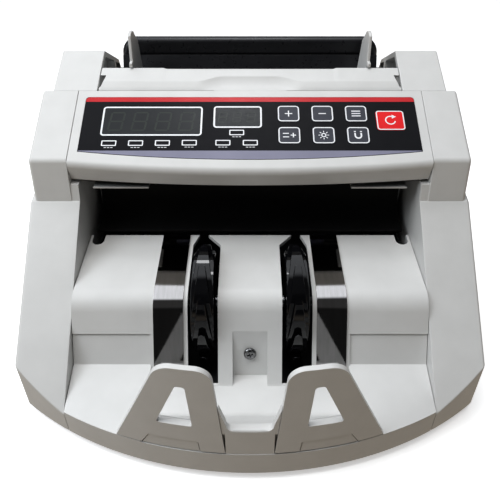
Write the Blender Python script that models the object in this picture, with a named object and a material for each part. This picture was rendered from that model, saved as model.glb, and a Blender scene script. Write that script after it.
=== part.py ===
"""Banknote counting machine, modelled as an assembly of separate pieces.

Frame: +X to the machine's right as seen by its user, +Y to the back, +Z up, in metres.
The origin is the centre of the bounding box at the bottom of the feet.
Dimensions below are millimetres. A "depth" is measured back from the front of the machine,
a "height" up from the surface that the feet stand on.
"""
import math

import bmesh
import bpy
from mathutils import Matrix, Vector

MM = 0.001

# Overall size
DEPTH = 262.0
FOOT_HEIGHT = 6.0
GAP = 0.3
WALL = 2.5

# Plan outline: straight sides and an arched front
HALF_WIDTH = 145.0
FRONT_RADIUS = 235.0

# Widths, as distances from the middle plane
POCKET_HALF = 112.0
HEAD_SEAM = 117.0
HEAD_BLOCK_HALF = 142.0
TOWER_INNER = 104.8
TOWER_OUTER = 135.0
FILLER_OUTER = 121.0

# Side profile of the covers, as (depth, height)
ARM_TOE = (20.0, 13.7)
ARM_TOP = (129.0, 111.0)
ARM_DECK = 118.0
VISOR_TOP = (134.0, 138.0)
VISOR_BOTTOM = (131.5, 123.5)
HEAD_REAR = (184.0, 166.0)
TOWER_PEAK = (220.0, 183.3)
TOWER_REAR = (258.0, 167.0)
REAR_DECK = 150.0
TOWER_FOOT = 145.0
TOWER_FRONT = 184.4
TOWER_STEP = 160.0
POCKET_MOUTH = 140.0
POCKET_BACK = 178.0
POCKET_DROP = 1.8
JOIN_HEIGHT = 100.0
HEAD_HEEL = 190.0
HEAD_BOW = 5.0
VISOR_FLANGE = 18.0
NOSE_REACH = 1.5
NOSE_BOW = 5.0
HEAD_LAP = 9.0

# Feet
FOOT_X = 112.0
FOOT_DEPTHS = {"front": 66.0, "rear": 240.0}
FOOT_RADIUS = 9.0

# Panel on the sloping top of the control head; "up" runs along the slope from its front edge
PANEL_TILT = math.atan2(HEAD_REAR[1] - VISOR_TOP[1], HEAD_REAR[0] - VISOR_TOP[0])
MEMBRANE_HALF = 111.0
MEMBRANE_SPAN = (7.0, 51.5)
MEMBRANE_BOW = 6.3
MEMBRANE_THICKNESS = 0.8
RECESS_DEPTH = 1.0
PANEL_HOLE = (-104.0, 107.0, 11.6, 46.5)
DISPLAY_DEPTH = 7.0
BOARD_WINDOW = (-102.0, 106.0, 16.0, 45.0)
BOARD_SPAN = (-9.0, -7.4)
COUNT_WINDOW = (-97.3, -32.5, 20.2, 42.5)
BATCH_WINDOW = (-23.4, 7.0, 26.6, 42.9)
KEY_SIZE = (14.6, 13.4)
KEY_THICKNESS = 3.0
KEY_PROUD = 0.4
KEY_COLUMNS = (25.7, 48.2, 70.7)
KEY_ROWS = {
    37.3: ("key_plus", "key_minus", "key_batch"),
    19.5: ("key_add", "key_uv_check", "key_magnetic_check"),
}
RESTART_CENTRE = (93.1, 31.7)
RESTART_SIZE = (18.8, 16.2)

# Stacker housing
FLOOR_HEIGHT = 22.6
LIP_HEIGHT = 44.4
LIP_WIDTH = 3.0
SCOOP_RADIUS = 7.0
SHELF_HEIGHT = 24.0
RIB_HALF = 62.8
LOWER_SLOPE = (56.3, 34.0)
CREASE = (77.85, 73.1)
CREASE_TANGENT = 9.0
HOUSING_REAR = (135.7, 79.5)
FLOOR_DEPTHS = (29.5, 50.0)
PRONG_SEAT = 3.6
LIP_INSET = 1.2
TAB_HALF = 13.2
WELL_CENTRE = (105.7, 130.2)
WELL_RADIUS = 4.2
WELL_FLOOR = 60.0

# Wedge-shaped recess in the middle of the lower slope, with a screw in its back wall
NICHE_HALF = 11.0
NICHE_TOP = (66.0, 51.6)
NICHE_FOOT = (58.1, FLOOR_HEIGHT)
SCREW_AT = (62.3, 38.2)

# Stacker wheels and their slots
WHEEL_AXIS = (96.7, 52.0)
WHEEL_RADIUS = 40.0
WHEEL_CORE = 33.0
WHEEL_SPAN = (22.3, 36.9)
WHEEL_SLOT = (20.2, 39.1)
SLOT_NARROWS = 125.4
SLOT_END = (29.1, 35.3)
STRIP_SPAN = (41.7, 60.5)
STRIP_THICKNESS = 0.8
STRIP_DROP = 11.5

# Leaf-shaped blades: each runs from a narrow tip inward to a broad root, angles in degrees
BLADES = 11
FIRST_TIP = 71.7
BLADE_REACH = 62.0
BLADE_FALL = 7.6
BLADE_THICKNESS = 1.3
TIP_HALF = 1.6

# Prongs
PRONG_THICKNESS = 3.2
PRONG_TOP = 90.2
PRONG_FOOT = 24.6
PRONG_OUTER = (13.8, 19.3, 46.5, 76.6)
PRONG_NOTCH = [(61.5, PRONG_FOOT), (56.6, 33.0), (28.4, 33.0), (27.5, PRONG_FOOT)]
PRONG_RADII = [0, 9, 12, 0, 0, 1, 1, 0]
PRONG_WINDOW = [(30.9, 46.0), (50.9, 46.0), (37.9, 77.0), (32.9, 77.0)]
PRONG_WINDOW_RADII = [2, 2, 2.5, 2.5]

# Hopper
WALL_HALF = 104.3
WALL_RIDGE = (192.0, 170.0)
WALL_TOP = (204.5, 175.3)
WALL_PROFILE = [(186.3, 157.0), (186.3, 165.6), WALL_RIDGE, WALL_TOP, (206.6, 173.6), (206.6, 152.0)]
HOPPER_THICKNESS = 2.0
GUIDE_X = 83.8
GUIDE_THICKNESS = 2.2
GUIDE_FOOT = 152.8
GUIDE_DEPTHS = (208.2, 235.2)
GUIDE_REAR = [(240.2, 165.6), (233.0, 187.5)]
GUIDE_CROWN = (216.5, 187.0)
GUIDE_CROWN_RADIUS = 10.4
GUIDE_NUB = [(207.6, 179.5), (203.4, 178.6), (203.2, 176.2), (208.2, 176.0)]
GUIDE_BLOCK = (6.0, 215.0, 161.0)
ROD_AXIS = (211.5, 157.0)
ROD_RADIUS = 2.0
ROD_HALF = 104.5
PLATE_HEIGHT = 150.0
PLATE_HALF = 103.5
PLATE_PROFILE = [(208.9, PLATE_HEIGHT), (236.0, PLATE_HEIGHT), (248.0, 173.0)]
PICKUP_SLOT = (23.5, 46.5)

# Frames and shafts, as (depth, height)
FRAME_INNER = 107.8
FRAME_THICKNESS = 1.5
FRAME_OUTLINE = [(84.0, 8.8), (250.0, 8.8), (250.0, 144.0), (208.0, 144.0), (186.0, 132.0),
                 (166.0, 118.0), (163.6, 70.0), (112.0, 68.0), (84.0, 62.0)]
SHAFT_HALF = 110.5
SHAFT_RADIUS = 4.0
PICKUP_AXIS = (226.0, 137.5)
FEED_AXIS = (198.0, 121.0)
TRANSPORT_AXIS = (178.0, 99.0)
SEPARATOR_AXIS = (197.0, 148.0)
MOTOR_AXIS = (215.0, 45.0)
PICKUP_RADIUS = 13.5
FEED_RADIUS = 17.0
TRANSPORT_RADIUS = 11.0
SEPARATOR_RADIUS = 8.0
SEPARATOR_HALF = 17.0
SEPARATOR_PIN = 3.0
BRACKET_HALF = 22.0
BRACKET_WALL = 3.0
PICKUP_SPAN = (25.0, 45.0)
FEED_SPAN = (8.0, 22.0)
TRANSPORT_SPAN = (30.0, 50.0)
PULLEY_HALF = 3.0
MOTOR_RADIUS = 25.0
MOTOR_SPAN = (-84.0, -18.0)
MOTOR_FOOT_HALF = 18.0
MOTOR_PULLEY = 9.0
STACKER_PULLEY = 18.0
FEED_PULLEY = 12.0
PICKUP_PULLEY = 8.0
TRANSPORT_PULLEY = 9.0
FEED_BELT_X = -101.0
STACKER_BELT_X = -94.0
BELT_WIDTH = 4.0
BELT_THICKNESS = 1.5

# Note path behind the stacker, and what sits along it
CHUTE_FRONT = [(137.0, 83.0), (141.0, 83.5)]
CHUTE_CENTRE = (141.0, 103.5)
CHUTE_RADIUS = 20.0
CHUTE_REAR = (161.5, 117.0)
CHUTE_THICKNESS = 1.8
CHUTE_HALF = 107.0
LAMP_AXIS = (172.0, 131.0)
LAMP_RADIUS = 4.0
LAMP_HALF = 60.0

# Handle
HANDLE_AXIS = (255.8, 158.0)
HANDLE_TOP = 184.5
HANDLE_HALF = 98.8
HANDLE_DEPTHS = (250.6, 261.0)
HANDLE_LEG = 11.0
HANDLE_BAR = 14.0
HANDLE_RADII = [2, 5, 5, 2, 2, 12, 12, 2]
TRUNNION_RADIUS = 3.0
TRUNNION_SPAN = (95.0, 107.0)

# Rear cover, with vents and the opening of the inlet module
DECK_FRONT = 246.5
VENTS = 6
VENT_HALF = 60.0
FIRST_VENT = 78.0
VENT_PITCH = 9.0
VENT_HEIGHT = 3.2
INLET_X = (30.0, 86.0)
INLET_HEIGHTS = (24.0, 44.0)
INLET_FACE = 244.0
SOCKET_X = (60.0, 84.0)
SOCKET_HEIGHTS = (26.0, 42.0)
SOCKET_FLOOR = 247.0
PINS = ((72.0, 37.0), (65.5, 33.0), (78.5, 33.0))
SWITCH_X = (34.0, 45.0)
SWITCH_HEIGHTS = (25.0, 43.0)

# Knob for the note thickness
KNOB_DEPTH = 254.0
KNOB_RADIUS = 6.5
KNOB_TOP = 157.6
KNOB_FLUTES = 16
KNOB_STEM = 3.0
STEM_FOOT = 140.0

# Power rocker, pressed in at its top when the machine is off
ROCKER_AXIS = (255.0, 34.0)
ROCKER_TILT = 11.0

parts = bpy.data.collections.new("banknote_counter")
cutters = bpy.data.collections.new("cutters")


# ---------------------------------------------------------------- placing and materials

def clear_scene():
    for obj in list(bpy.data.objects):
        bpy.data.objects.remove(obj, do_unlink=True)
    bpy.context.scene.collection.children.link(parts)
    bpy.context.scene.collection.children.link(cutters)


def place(x, depth, height):
    """World position in metres of a point given in millimetres."""
    return Vector((x * MM, (depth - DEPTH / 2) * MM, height * MM))


def panel_point(x, up, out=0.0):
    """World position of a point on the sloping panel; out is along its normal."""
    depth = VISOR_TOP[0] + up * math.cos(PANEL_TILT) - out * math.sin(PANEL_TILT)
    height = VISOR_TOP[1] + up * math.sin(PANEL_TILT) + out * math.cos(PANEL_TILT)
    return place(x, depth, height)


def material(name, colour, roughness, metallic=0.0):
    made = bpy.data.materials.get(name)
    if made is None:
        made = bpy.data.materials.new(name)
        made.use_nodes = True
        shader = made.node_tree.nodes["Principled BSDF"]
        shader.inputs["Base Color"].default_value = (*colour, 1.0)
        shader.inputs["Roughness"].default_value = roughness
        shader.inputs["Metallic"].default_value = metallic
    return made


def casing():
    return material("light_casing", (0.74, 0.74, 0.73), 0.42)


def black_plastic():
    return material("black_plastic", (0.015, 0.015, 0.017), 0.4)


def gloss_black():
    return material("gloss_black", (0.01, 0.01, 0.011), 0.12)


def rubber():
    return material("rubber", (0.03, 0.03, 0.03), 0.8)


def steel():
    return material("bright_steel", (0.75, 0.75, 0.76), 0.15, 1.0)


def zinc():
    return material("zinc_plate", (0.55, 0.56, 0.58), 0.4, 1.0)


def board_green():
    return material("board_green", (0.03, 0.16, 0.07), 0.5)


# ---------------------------------------------------------------- shape helpers

def finish(name, mesh, surface, cutter=False):
    """Turns a bmesh into a named object, faces outwards."""
    bmesh.ops.recalc_face_normals(mesh, faces=mesh.faces)
    data = bpy.data.meshes.new(name)
    mesh.to_mesh(data)
    mesh.free()
    obj = bpy.data.objects.new(name, data)
    if cutter:
        cutters.objects.link(obj)
        obj.hide_render = True
        obj.display_type = 'WIRE'
    else:
        parts.objects.link(obj)
        data.materials.append(surface)
    return obj


def prism(name, corners, travel, surface=None, cutter=False, cuts_x=()):
    """Extrudes a closed loop of world points along the vector travel."""
    mesh = bmesh.new()
    face = mesh.faces.new([mesh.verts.new(corner) for corner in corners])
    moved = bmesh.ops.extrude_face_region(mesh, geom=[face])
    raised = [item for item in moved["geom"] if isinstance(item, bmesh.types.BMVert)]
    bmesh.ops.translate(mesh, verts=raised, vec=travel)
    for x in cuts_x:
        everything = mesh.verts[:] + mesh.edges[:] + mesh.faces[:]
        bmesh.ops.bisect_plane(mesh, geom=everything, dist=1e-7,
                               plane_co=(x * MM, 0, 0), plane_no=(1, 0, 0))
    return finish(name, mesh, surface, cutter)


def across(name, outline, x_from, x_to, surface=None, cutter=False, cuts_x=()):
    """A side profile of (depth, height) points carried from x_from to x_to."""
    corners = [place(x_from, depth, height) for depth, height in outline]
    travel = Vector(((x_to - x_from) * MM, 0, 0))
    return prism(name, corners, travel, surface, cutter, cuts_x)


def upright(name, outline, low, high, surface=None, cutter=False):
    """A plan outline of (x, depth) points raised from low to high."""
    corners = [place(x, depth, low) for x, depth in outline]
    return prism(name, corners, Vector((0, 0, (high - low) * MM)), surface, cutter)


def fore_and_aft(name, outline, near, far, surface=None, cutter=False):
    """A front outline of (x, height) points carried from depth near to depth far."""
    corners = [place(x, near, height) for x, height in outline]
    return prism(name, corners, Vector((0, (far - near) * MM, 0)), surface, cutter)


def box(name, xs, depths, heights, surface=None, cutter=False):
    outline = [(depths[0], heights[0]), (depths[1], heights[0]),
               (depths[1], heights[1]), (depths[0], heights[1])]
    return across(name, outline, xs[0], xs[1], surface, cutter)


def rod(name, centre, radius, x_from, x_to, surface=None, cutter=False, sides=24):
    """A cylinder along X at the (depth, height) centre."""
    mesh = bmesh.new()
    middle = place((x_from + x_to) / 2, *centre)
    turn = Matrix.Translation(middle) @ Matrix.Rotation(math.pi / 2, 4, 'Y')
    bmesh.ops.create_cone(mesh, cap_ends=True, segments=sides, radius1=radius * MM,
                          radius2=radius * MM, depth=abs(x_to - x_from) * MM, matrix=turn)
    return finish(name, mesh, surface, cutter)


def post(name, x, depth, radius, low, high, surface=None, cutter=False, sides=24):
    """A cylinder along Z."""
    mesh = bmesh.new()
    middle = Matrix.Translation(place(x, depth, (low + high) / 2))
    bmesh.ops.create_cone(mesh, cap_ends=True, segments=sides, radius1=radius * MM,
                          radius2=radius * MM, depth=(high - low) * MM, matrix=middle)
    return finish(name, mesh, surface, cutter)


def panel_plate(name, outline, low, high, surface=None, cutter=False):
    """An outline of (x, up) points on the panel, carried from low to high along its normal."""
    corners = [panel_point(x, up, low) for x, up in outline]
    travel = panel_point(0, 0, high) - panel_point(0, 0, low)
    return prism(name, corners, travel, surface, cutter)


def panel_block(name, window, low, high, surface=None, cutter=False):
    """A block on the panel: window is (x from, x to, up from, up to)."""
    x_from, x_to, up_from, up_to = window
    outline = [(x_from, up_from), (x_to, up_from), (x_to, up_to), (x_from, up_to)]
    return panel_plate(name, outline, low, high, surface, cutter)


def boolean(obj, operation, *tools):
    for tool in tools:
        step = obj.modifiers.new(f"{operation.lower()} {tool.name}", 'BOOLEAN')
        step.operation = operation
        step.object = tool
    return obj


def arc(centre, radius, start, end, steps):
    """Points on a circle from start to end, in degrees."""
    angles = [math.radians(start + (end - start) * i / steps) for i in range(steps + 1)]
    return [(centre[0] + radius * math.cos(a), centre[1] + radius * math.sin(a)) for a in angles]


def offset_line(points, distance, closed):
    """The polyline moved sideways by distance, to the left of its direction, mitred."""
    moved = []
    count = len(points)
    for i, point in enumerate(points):
        here = Vector(point)
        before = Vector(points[i - 1]) if closed or i > 0 else None
        after = Vector(points[(i + 1) % count]) if closed or i < count - 1 else None
        sides = []
        if before is not None:
            sides.append((here - before).normalized())
        if after is not None:
            sides.append((after - here).normalized())
        normals = [Vector((-side.y, side.x)) for side in sides]
        bisector = sum(normals, Vector((0, 0))).normalized()
        moved.append(tuple(here + bisector * distance / bisector.dot(normals[0])))
    return moved


def ribbon(points, thickness):
    """A closed outline around an open polyline, thick to the right of its direction."""
    return points + offset_line(points, -thickness, False)[::-1]


def inset(outline, distance):
    """A closed anticlockwise outline drawn in by distance."""
    return offset_line(outline, distance, True)


def rounded(outline, radii, steps=4):
    """A closed outline with each corner replaced by an arc of its radius."""
    result = []
    count = len(outline)
    for i, (corner, radius) in enumerate(zip(outline, radii)):
        here = Vector(corner)
        if radius <= 0:
            result.append(corner)
            continue
        back = (Vector(outline[i - 1]) - here).normalized()
        ahead = (Vector(outline[(i + 1) % count]) - here).normalized()
        half = back.angle(ahead) / 2
        centre = here + (back + ahead).normalized() * radius / math.sin(half)
        first = here + back * radius / math.tan(half) - centre
        last = here + ahead * radius / math.tan(half) - centre
        sweep = first.angle_signed(last)
        for step in range(steps + 1):
            turned = first.copy()
            turned.rotate(Matrix.Rotation(-sweep * step / steps, 2))
            result.append(tuple(centre + turned))
    return result


def turns_right(a, b, c):
    return (b[0] - a[0]) * (c[1] - a[1]) - (b[1] - a[1]) * (c[0] - a[0]) <= 1e-9


def belt_hull(circles, grow, steps=40):
    """Convex outline around circles of (depth, height, radius), each grown by grow."""
    points = []
    for depth, height, radius in circles:
        points += arc((depth, height), radius + grow, 0, 360 - 360 / steps, steps - 1)
    points = sorted(set(points))

    def half_hull(ordered):
        chain = []
        for point in ordered:
            while len(chain) > 1 and turns_right(chain[-2], chain[-1], point):
                chain.pop()
            chain.append(point)
        return chain[:-1]

    return half_hull(points) + half_hull(points[::-1])


def front_recess(x):
    """How far the arched front lies behind its middle at x."""
    return FRONT_RADIUS - math.sqrt(FRONT_RADIUS ** 2 - x ** 2)


def plan_outline(margin):
    """The machine's plan outline, drawn in by margin."""
    radius = FRONT_RADIUS - margin
    half = HALF_WIDTH - margin
    reach = math.degrees(math.asin(half / radius))
    front = arc((0, FRONT_RADIUS), radius, -90 - reach, -90 + reach, 28)
    return front + [(half, DEPTH - margin), (-half, DEPTH - margin)]


# ---------------------------------------------------------------- casing

def make_base():
    outline = plan_outline(WALL + 2 * GAP)
    surface = material("dark_base", (0.08, 0.08, 0.085), 0.6)
    upright("base_plate", outline, FOOT_HEIGHT, FOOT_HEIGHT + WALL, surface)
    for end, depth in FOOT_DEPTHS.items():
        for side, sign in (("left", -1), ("right", 1)):
            post(f"foot_{end}_{side}", sign * FOOT_X, depth, FOOT_RADIUS, 0.0, FOOT_HEIGHT - GAP,
                 rubber())


def arm_profile():
    return [(ARM_TOE[0], FOOT_HEIGHT), (DEPTH, FOOT_HEIGHT), (DEPTH, ARM_DECK),
            (POCKET_MOUTH, ARM_DECK - 4), ARM_TOP, ARM_TOE]


def head_profile():
    return [(POCKET_MOUTH, JOIN_HEIGHT), (DEPTH, JOIN_HEIGHT), (DEPTH, REAR_DECK),
            (HEAD_HEEL, REAR_DECK), HEAD_REAR, VISOR_TOP, ARM_TOP]


def tower_profile():
    return [(TOWER_FRONT, TOWER_FOOT), (DEPTH, TOWER_FOOT), (DEPTH, TOWER_STEP), TOWER_REAR,
            TOWER_PEAK, (TOWER_FRONT, HEAD_REAR[1])]


def filler_profile():
    """The strip of wall beside the pocket, under the control head."""
    top = VISOR_BOTTOM[1] - POCKET_DROP
    return [(POCKET_MOUTH, JOIN_HEIGHT), (POCKET_BACK, JOIN_HEIGHT), (POCKET_BACK, top),
            (VISOR_BOTTOM[0], top), ARM_TOP]


def rear_profile():
    """The strip of wall beside the rear cover, under the tower."""
    return [(TOWER_FRONT, JOIN_HEIGHT), (DEPTH, JOIN_HEIGHT), (DEPTH, REAR_DECK),
            (TOWER_FRONT, REAR_DECK)]


def make_side_cover(side, sign):
    """Four side profiles of different widths, joined, trimmed to the plan and hollowed.
    The first two points of each profile are its foot, which the hollow runs out through."""
    name = f"side_cover_{side}"
    spans = {
        "arm": (arm_profile(), POCKET_HALF, HALF_WIDTH),
        "head": (head_profile(), HEAD_SEAM + 0.4, HEAD_BLOCK_HALF),
        "rear": (rear_profile(), POCKET_HALF, TOWER_OUTER),
        "tower": (tower_profile(), TOWER_INNER, TOWER_OUTER),
    }
    cover = across(name, spans["arm"][0], sign * POCKET_HALF, sign * HALF_WIDTH, casing())
    shell = []
    hollow = []
    for part, (outline, inner, outer) in spans.items():
        if part != "arm":
            shell.append(across(f"{name}_{part}", outline, sign * inner, sign * outer, cutter=True))
        drawn_in = inset(outline, WALL)
        below = outline[0][1] - 2 * WALL
        drawn_in[:2] = [(depth, below) for depth, height in drawn_in[:2]]
        hollow.append(across(f"{name}_{part}_hollow", drawn_in, sign * (inner + WALL),
                             sign * (outer - WALL), cutter=True))
    filler = across(f"{name}_filler", filler_profile(), sign * POCKET_HALF,
                    sign * FILLER_OUTER, cutter=True)
    boolean(cover, 'UNION', *shell, filler)
    outside = upright(f"{name}_outside", plan_outline(0.0), -20, 220, cutter=True)
    boolean(cover, 'INTERSECT', outside)
    inside = upright(f"{name}_inside", plan_outline(WALL), -20, 220, cutter=True)
    for space in hollow:
        boolean(space, 'INTERSECT', inside)
    bore = rod(f"{name}_bore", HANDLE_AXIS, TRUNNION_RADIUS + GAP, sign * 100, sign * 111,
               cutter=True)
    tray = upright(f"{name}_tray", plan_outline(WALL + GAP), -20, FOOT_HEIGHT + WALL + GAP,
                   cutter=True)
    boolean(cover, 'DIFFERENCE', *hollow, bore, tray)


def make_control_head():
    """Head whose front bows forward, most of all at the nose over the visor."""
    nose = (VISOR_TOP[0] - NOSE_REACH * math.cos(PANEL_TILT),
            VISOR_TOP[1] - NOSE_REACH * math.sin(PANEL_TILT))
    outline = [(VISOR_BOTTOM[0] + VISOR_FLANGE, VISOR_BOTTOM[1] - 1.0), VISOR_BOTTOM, nose,
               HEAD_REAR, (HEAD_REAR[0] + 0.01, HEAD_REAR[1] - HEAD_LAP)]
    columns = [HEAD_SEAM * i / 6 for i in range(-5, 6)]
    head = across("control_head", ribbon(outline, WALL), -HEAD_SEAM, HEAD_SEAM, casing(),
                  cuts_x=columns)
    span = HEAD_REAR[0] - VISOR_TOP[0]
    for vertex in head.data.vertices:
        x = vertex.co.x / MM
        depth = vertex.co.y / MM + DEPTH / 2
        share = max(0.0, min(1.0, (HEAD_REAR[0] - depth) / span))
        at_nose = depth < VISOR_TOP[0] and vertex.co.z / MM > VISOR_BOTTOM[1] + 2 * WALL
        bow = HEAD_BOW * share + (NOSE_BOW if at_nose else 0.0)
        bow *= 1 - (x / HEAD_SEAM) ** 2
        vertex.co.y -= bow * math.cos(PANEL_TILT) * MM
        vertex.co.z -= bow * math.sin(PANEL_TILT) * MM
    recess = panel_plate("control_head_recess", membrane_outline(GAP), -RECESS_DEPTH, 5.0,
                         cutter=True)
    window = panel_block("control_head_window", PANEL_HOLE, -20, 5, cutter=True)
    boolean(head, 'DIFFERENCE', recess, window)


def membrane_outline(margin):
    """The membrane's outline as (x, up) points, its lower edge bowed, grown by margin."""
    half = MEMBRANE_HALF + margin
    steps = 12
    lower = []
    for i in range(steps + 1):
        x = half * (2 * i / steps - 1)
        bow = MEMBRANE_BOW * (1 - (x / half) ** 2)
        lower.append((x, MEMBRANE_SPAN[0] - margin - bow))
    upper = MEMBRANE_SPAN[1] + margin
    return lower + [(half, upper), (-half, upper)]


def grown(window, margin):
    return (window[0] - margin, window[1] + margin, window[2] - margin, window[3] + margin)


def key_window(centre, size):
    return (centre[0] - size[0] / 2, centre[0] + size[0] / 2,
            centre[1] - size[1] / 2, centre[1] + size[1] / 2)


def make_panel():
    foil_low = -RECESS_DEPTH + GAP
    foil_high = foil_low + MEMBRANE_THICKNESS
    foil = panel_plate("panel_membrane", membrane_outline(0.0), foil_low, foil_high,
                       material("dark_foil", (0.03, 0.035, 0.055), 0.35))
    keys = {"key_restart": key_window(RESTART_CENTRE, RESTART_SIZE)}
    for up, names in KEY_ROWS.items():
        for x, name in zip(KEY_COLUMNS, names):
            keys[name] = key_window((x, up), KEY_SIZE)
    for name, window in keys.items():
        colour = (0.62, 0.02, 0.03) if name == "key_restart" else (0.09, 0.1, 0.12)
        top = foil_high + KEY_PROUD
        panel_block(name, window, top - KEY_THICKNESS, top, material(name, colour, 0.4))
        opening = panel_block(f"{name}_opening", grown(window, GAP), -3, 3, cutter=True)
        boolean(foil, 'DIFFERENCE', opening)
    for name, window in (("count_display", COUNT_WINDOW), ("batch_display", BATCH_WINDOW)):
        surface = material("display_glass", (0.02, 0.025, 0.03), 0.1)
        panel_block(name, window, -DISPLAY_DEPTH, foil_high - 0.2, surface)
        opening = panel_block(f"{name}_opening", grown(window, GAP), -3, 3, cutter=True)
        boolean(foil, 'DIFFERENCE', opening)
    panel_block("control_board", BOARD_WINDOW, *BOARD_SPAN, board_green())


def ledge(start, count):
    """Points evenly along the outer zones' ledge, from start to the foot of the slope."""
    return [tuple(Vector(start).lerp(Vector(LOWER_SLOPE), i / count)) for i in range(1, count + 1)]


def housing_section(x, deep):
    """One closed section of the housing: lip, scoop, floor and slope in the middle zone, a ledge
    and the slope in the outer zones. Every section has the same number of points."""
    front = front_recess(x)
    seat = front + (PRONG_SEAT if deep else LIP_INSET)
    foot = [(front, FOOT_HEIGHT), (front, SHELF_HEIGHT), (seat, SHELF_HEIGHT + 0.02)]
    lip = [(seat + 0.3, LIP_HEIGHT - 1.2), (seat + 1.2, LIP_HEIGHT),
           (seat + LIP_WIDTH, LIP_HEIGHT - 0.5)]
    lip_corner = [(seat, LIP_HEIGHT)]
    heel = (FLOOR_DEPTHS[0], FLOOR_HEIGHT + SCOOP_RADIUS)
    floor = arc(heel, SCOOP_RADIUS, 232, 270, 5)
    floor.append(NICHE_FOOT if abs(x) <= NICHE_HALF else (FLOOR_DEPTHS[1], FLOOR_HEIGHT))
    outside, inside = lip + floor, lip_corner + floor
    if abs(x) > RIB_HALF:
        outside, inside = ledge(foot[-1], len(outside)), ledge(foot[-1], len(inside))
    behind = offset_line(foot + inside + slope_line(), -WALL, False)
    return foot + outside + slope_line() + behind[::-1]


def slope_line():
    """Slope of the housing from the niche's top up to its rear edge, shared by both zones."""
    corner = Vector(CREASE)
    down = (Vector(LOWER_SLOPE) - corner).normalized()
    back = (Vector(HOUSING_REAR) - corner).normalized()
    start = corner + down * CREASE_TANGENT
    end = corner + back * CREASE_TANGENT
    curve = []
    for i in range(6):
        t = i / 5
        curve.append(tuple(start * (1 - t) ** 2 + corner * 2 * t * (1 - t) + end * t ** 2))
    return [NICHE_TOP] + curve + [HOUSING_REAR]


def make_stacker_housing():
    """Lofted shell: one closed section for each station across the machine."""
    edge = POCKET_HALF - 0.4
    step = 0.3
    prong_edge = PRONG_OUTER[-1] + 1.4
    seats = [(NICHE_HALF, False), (NICHE_HALF + step, False), (TAB_HALF - step, False),
             (TAB_HALF, True), (30.0, True), (46.0, True), (RIB_HALF, True),
             (RIB_HALF + step, True), (prong_edge, True), (prong_edge + step, False),
             (95.0, False), (edge, False)]
    stations = [(-x, deep) for x, deep in reversed(seats)] + [(0.0, False)] + seats
    mesh = bmesh.new()
    rings = []
    for x, deep in stations:
        outline = housing_section(x, deep)
        rings.append([mesh.verts.new(place(x, depth, height)) for depth, height in outline])
    for ring, following in zip(rings, rings[1:]):
        for i in range(len(ring)):
            j = (i + 1) % len(ring)
            mesh.faces.new((ring[i], ring[j], following[j], following[i]))
    mesh.faces.new(rings[0])
    mesh.faces.new(rings[-1][::-1])
    housing = finish("stacker_housing", mesh, casing())
    near = FLOOR_DEPTHS[1] - 1.0
    far = HOUSING_REAR[0]
    plan = [(WHEEL_SLOT[0], near), (WHEEL_SLOT[1], near), (WHEEL_SLOT[1], SLOT_NARROWS),
            (SLOT_END[1], far), (SLOT_END[1], far + 10), (SLOT_END[0], far + 10),
            (SLOT_END[0], far), (WHEEL_SLOT[0], SLOT_NARROWS)]
    x, depth = WELL_CENTRE
    well_plan = arc((x, depth), WELL_RADIUS, 180, 360, 10) + [(x + WELL_RADIUS, far + 10),
                                                              (x - WELL_RADIUS, far + 10)]
    for side, sign in (("left", -1), ("right", 1)):
        for name, outline, low in (("wheel_slot", plan, FLOOR_HEIGHT + 1.0),
                                   ("screw_well", well_plan, WELL_FLOOR)):
            mirrored = [(sign * x, depth) for x, depth in outline]
            cut = upright(f"{name}_{side}", mirrored, low, 120.0, cutter=True)
            boolean(housing, 'DIFFERENCE', cut)
    hole = rod_along("housing_screw_hole", (0.0, *SCREW_AT), 2.6, 12.0, cutter=True)
    boolean(housing, 'DIFFERENCE', hole)


def rod_along(name, middle, radius, length, surface=None, cutter=False):
    """A cylinder along the normal of the niche's back wall."""
    mesh = bmesh.new()
    rise = Vector(NICHE_TOP) - Vector(NICHE_FOOT)
    direction = Vector((0, -rise.y, rise.x))
    turn = direction.to_track_quat('Z', 'X').to_matrix().to_4x4()
    bmesh.ops.create_cone(mesh, cap_ends=True, segments=20, radius1=radius * MM,
                          radius2=radius * MM, depth=length * MM,
                          matrix=Matrix.Translation(place(*middle)) @ turn)
    return finish(name, mesh, surface, cutter)


def strip_foot():
    """Lower end of the bright strips, just above the floor."""
    run = (Vector(CREASE) - Vector(LOWER_SLOPE)).normalized()
    return tuple(Vector(LOWER_SLOPE) - run * STRIP_DROP)


def make_strips_and_screw():
    """Bright strips 0.3 mm clear of the slope, and the screw in the slope's middle."""
    line = [strip_foot()] + slope_line()
    line[-1] = tuple(Vector(line[-1]) - (Vector(line[-1]) - Vector(line[-2])).normalized() * 1.0)
    raised = offset_line(line, GAP + STRIP_THICKNESS, False)
    for side, sign in (("left", -1), ("right", 1)):
        across(f"guide_strip_{side}", ribbon(raised, STRIP_THICKNESS), sign * STRIP_SPAN[0],
               sign * STRIP_SPAN[1], steel())
    rod_along("housing_screw", (0.0, *SCREW_AT), 2.2, 7.0,
              material("dark_screw", (0.09, 0.09, 0.09), 0.35, 1.0))


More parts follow.
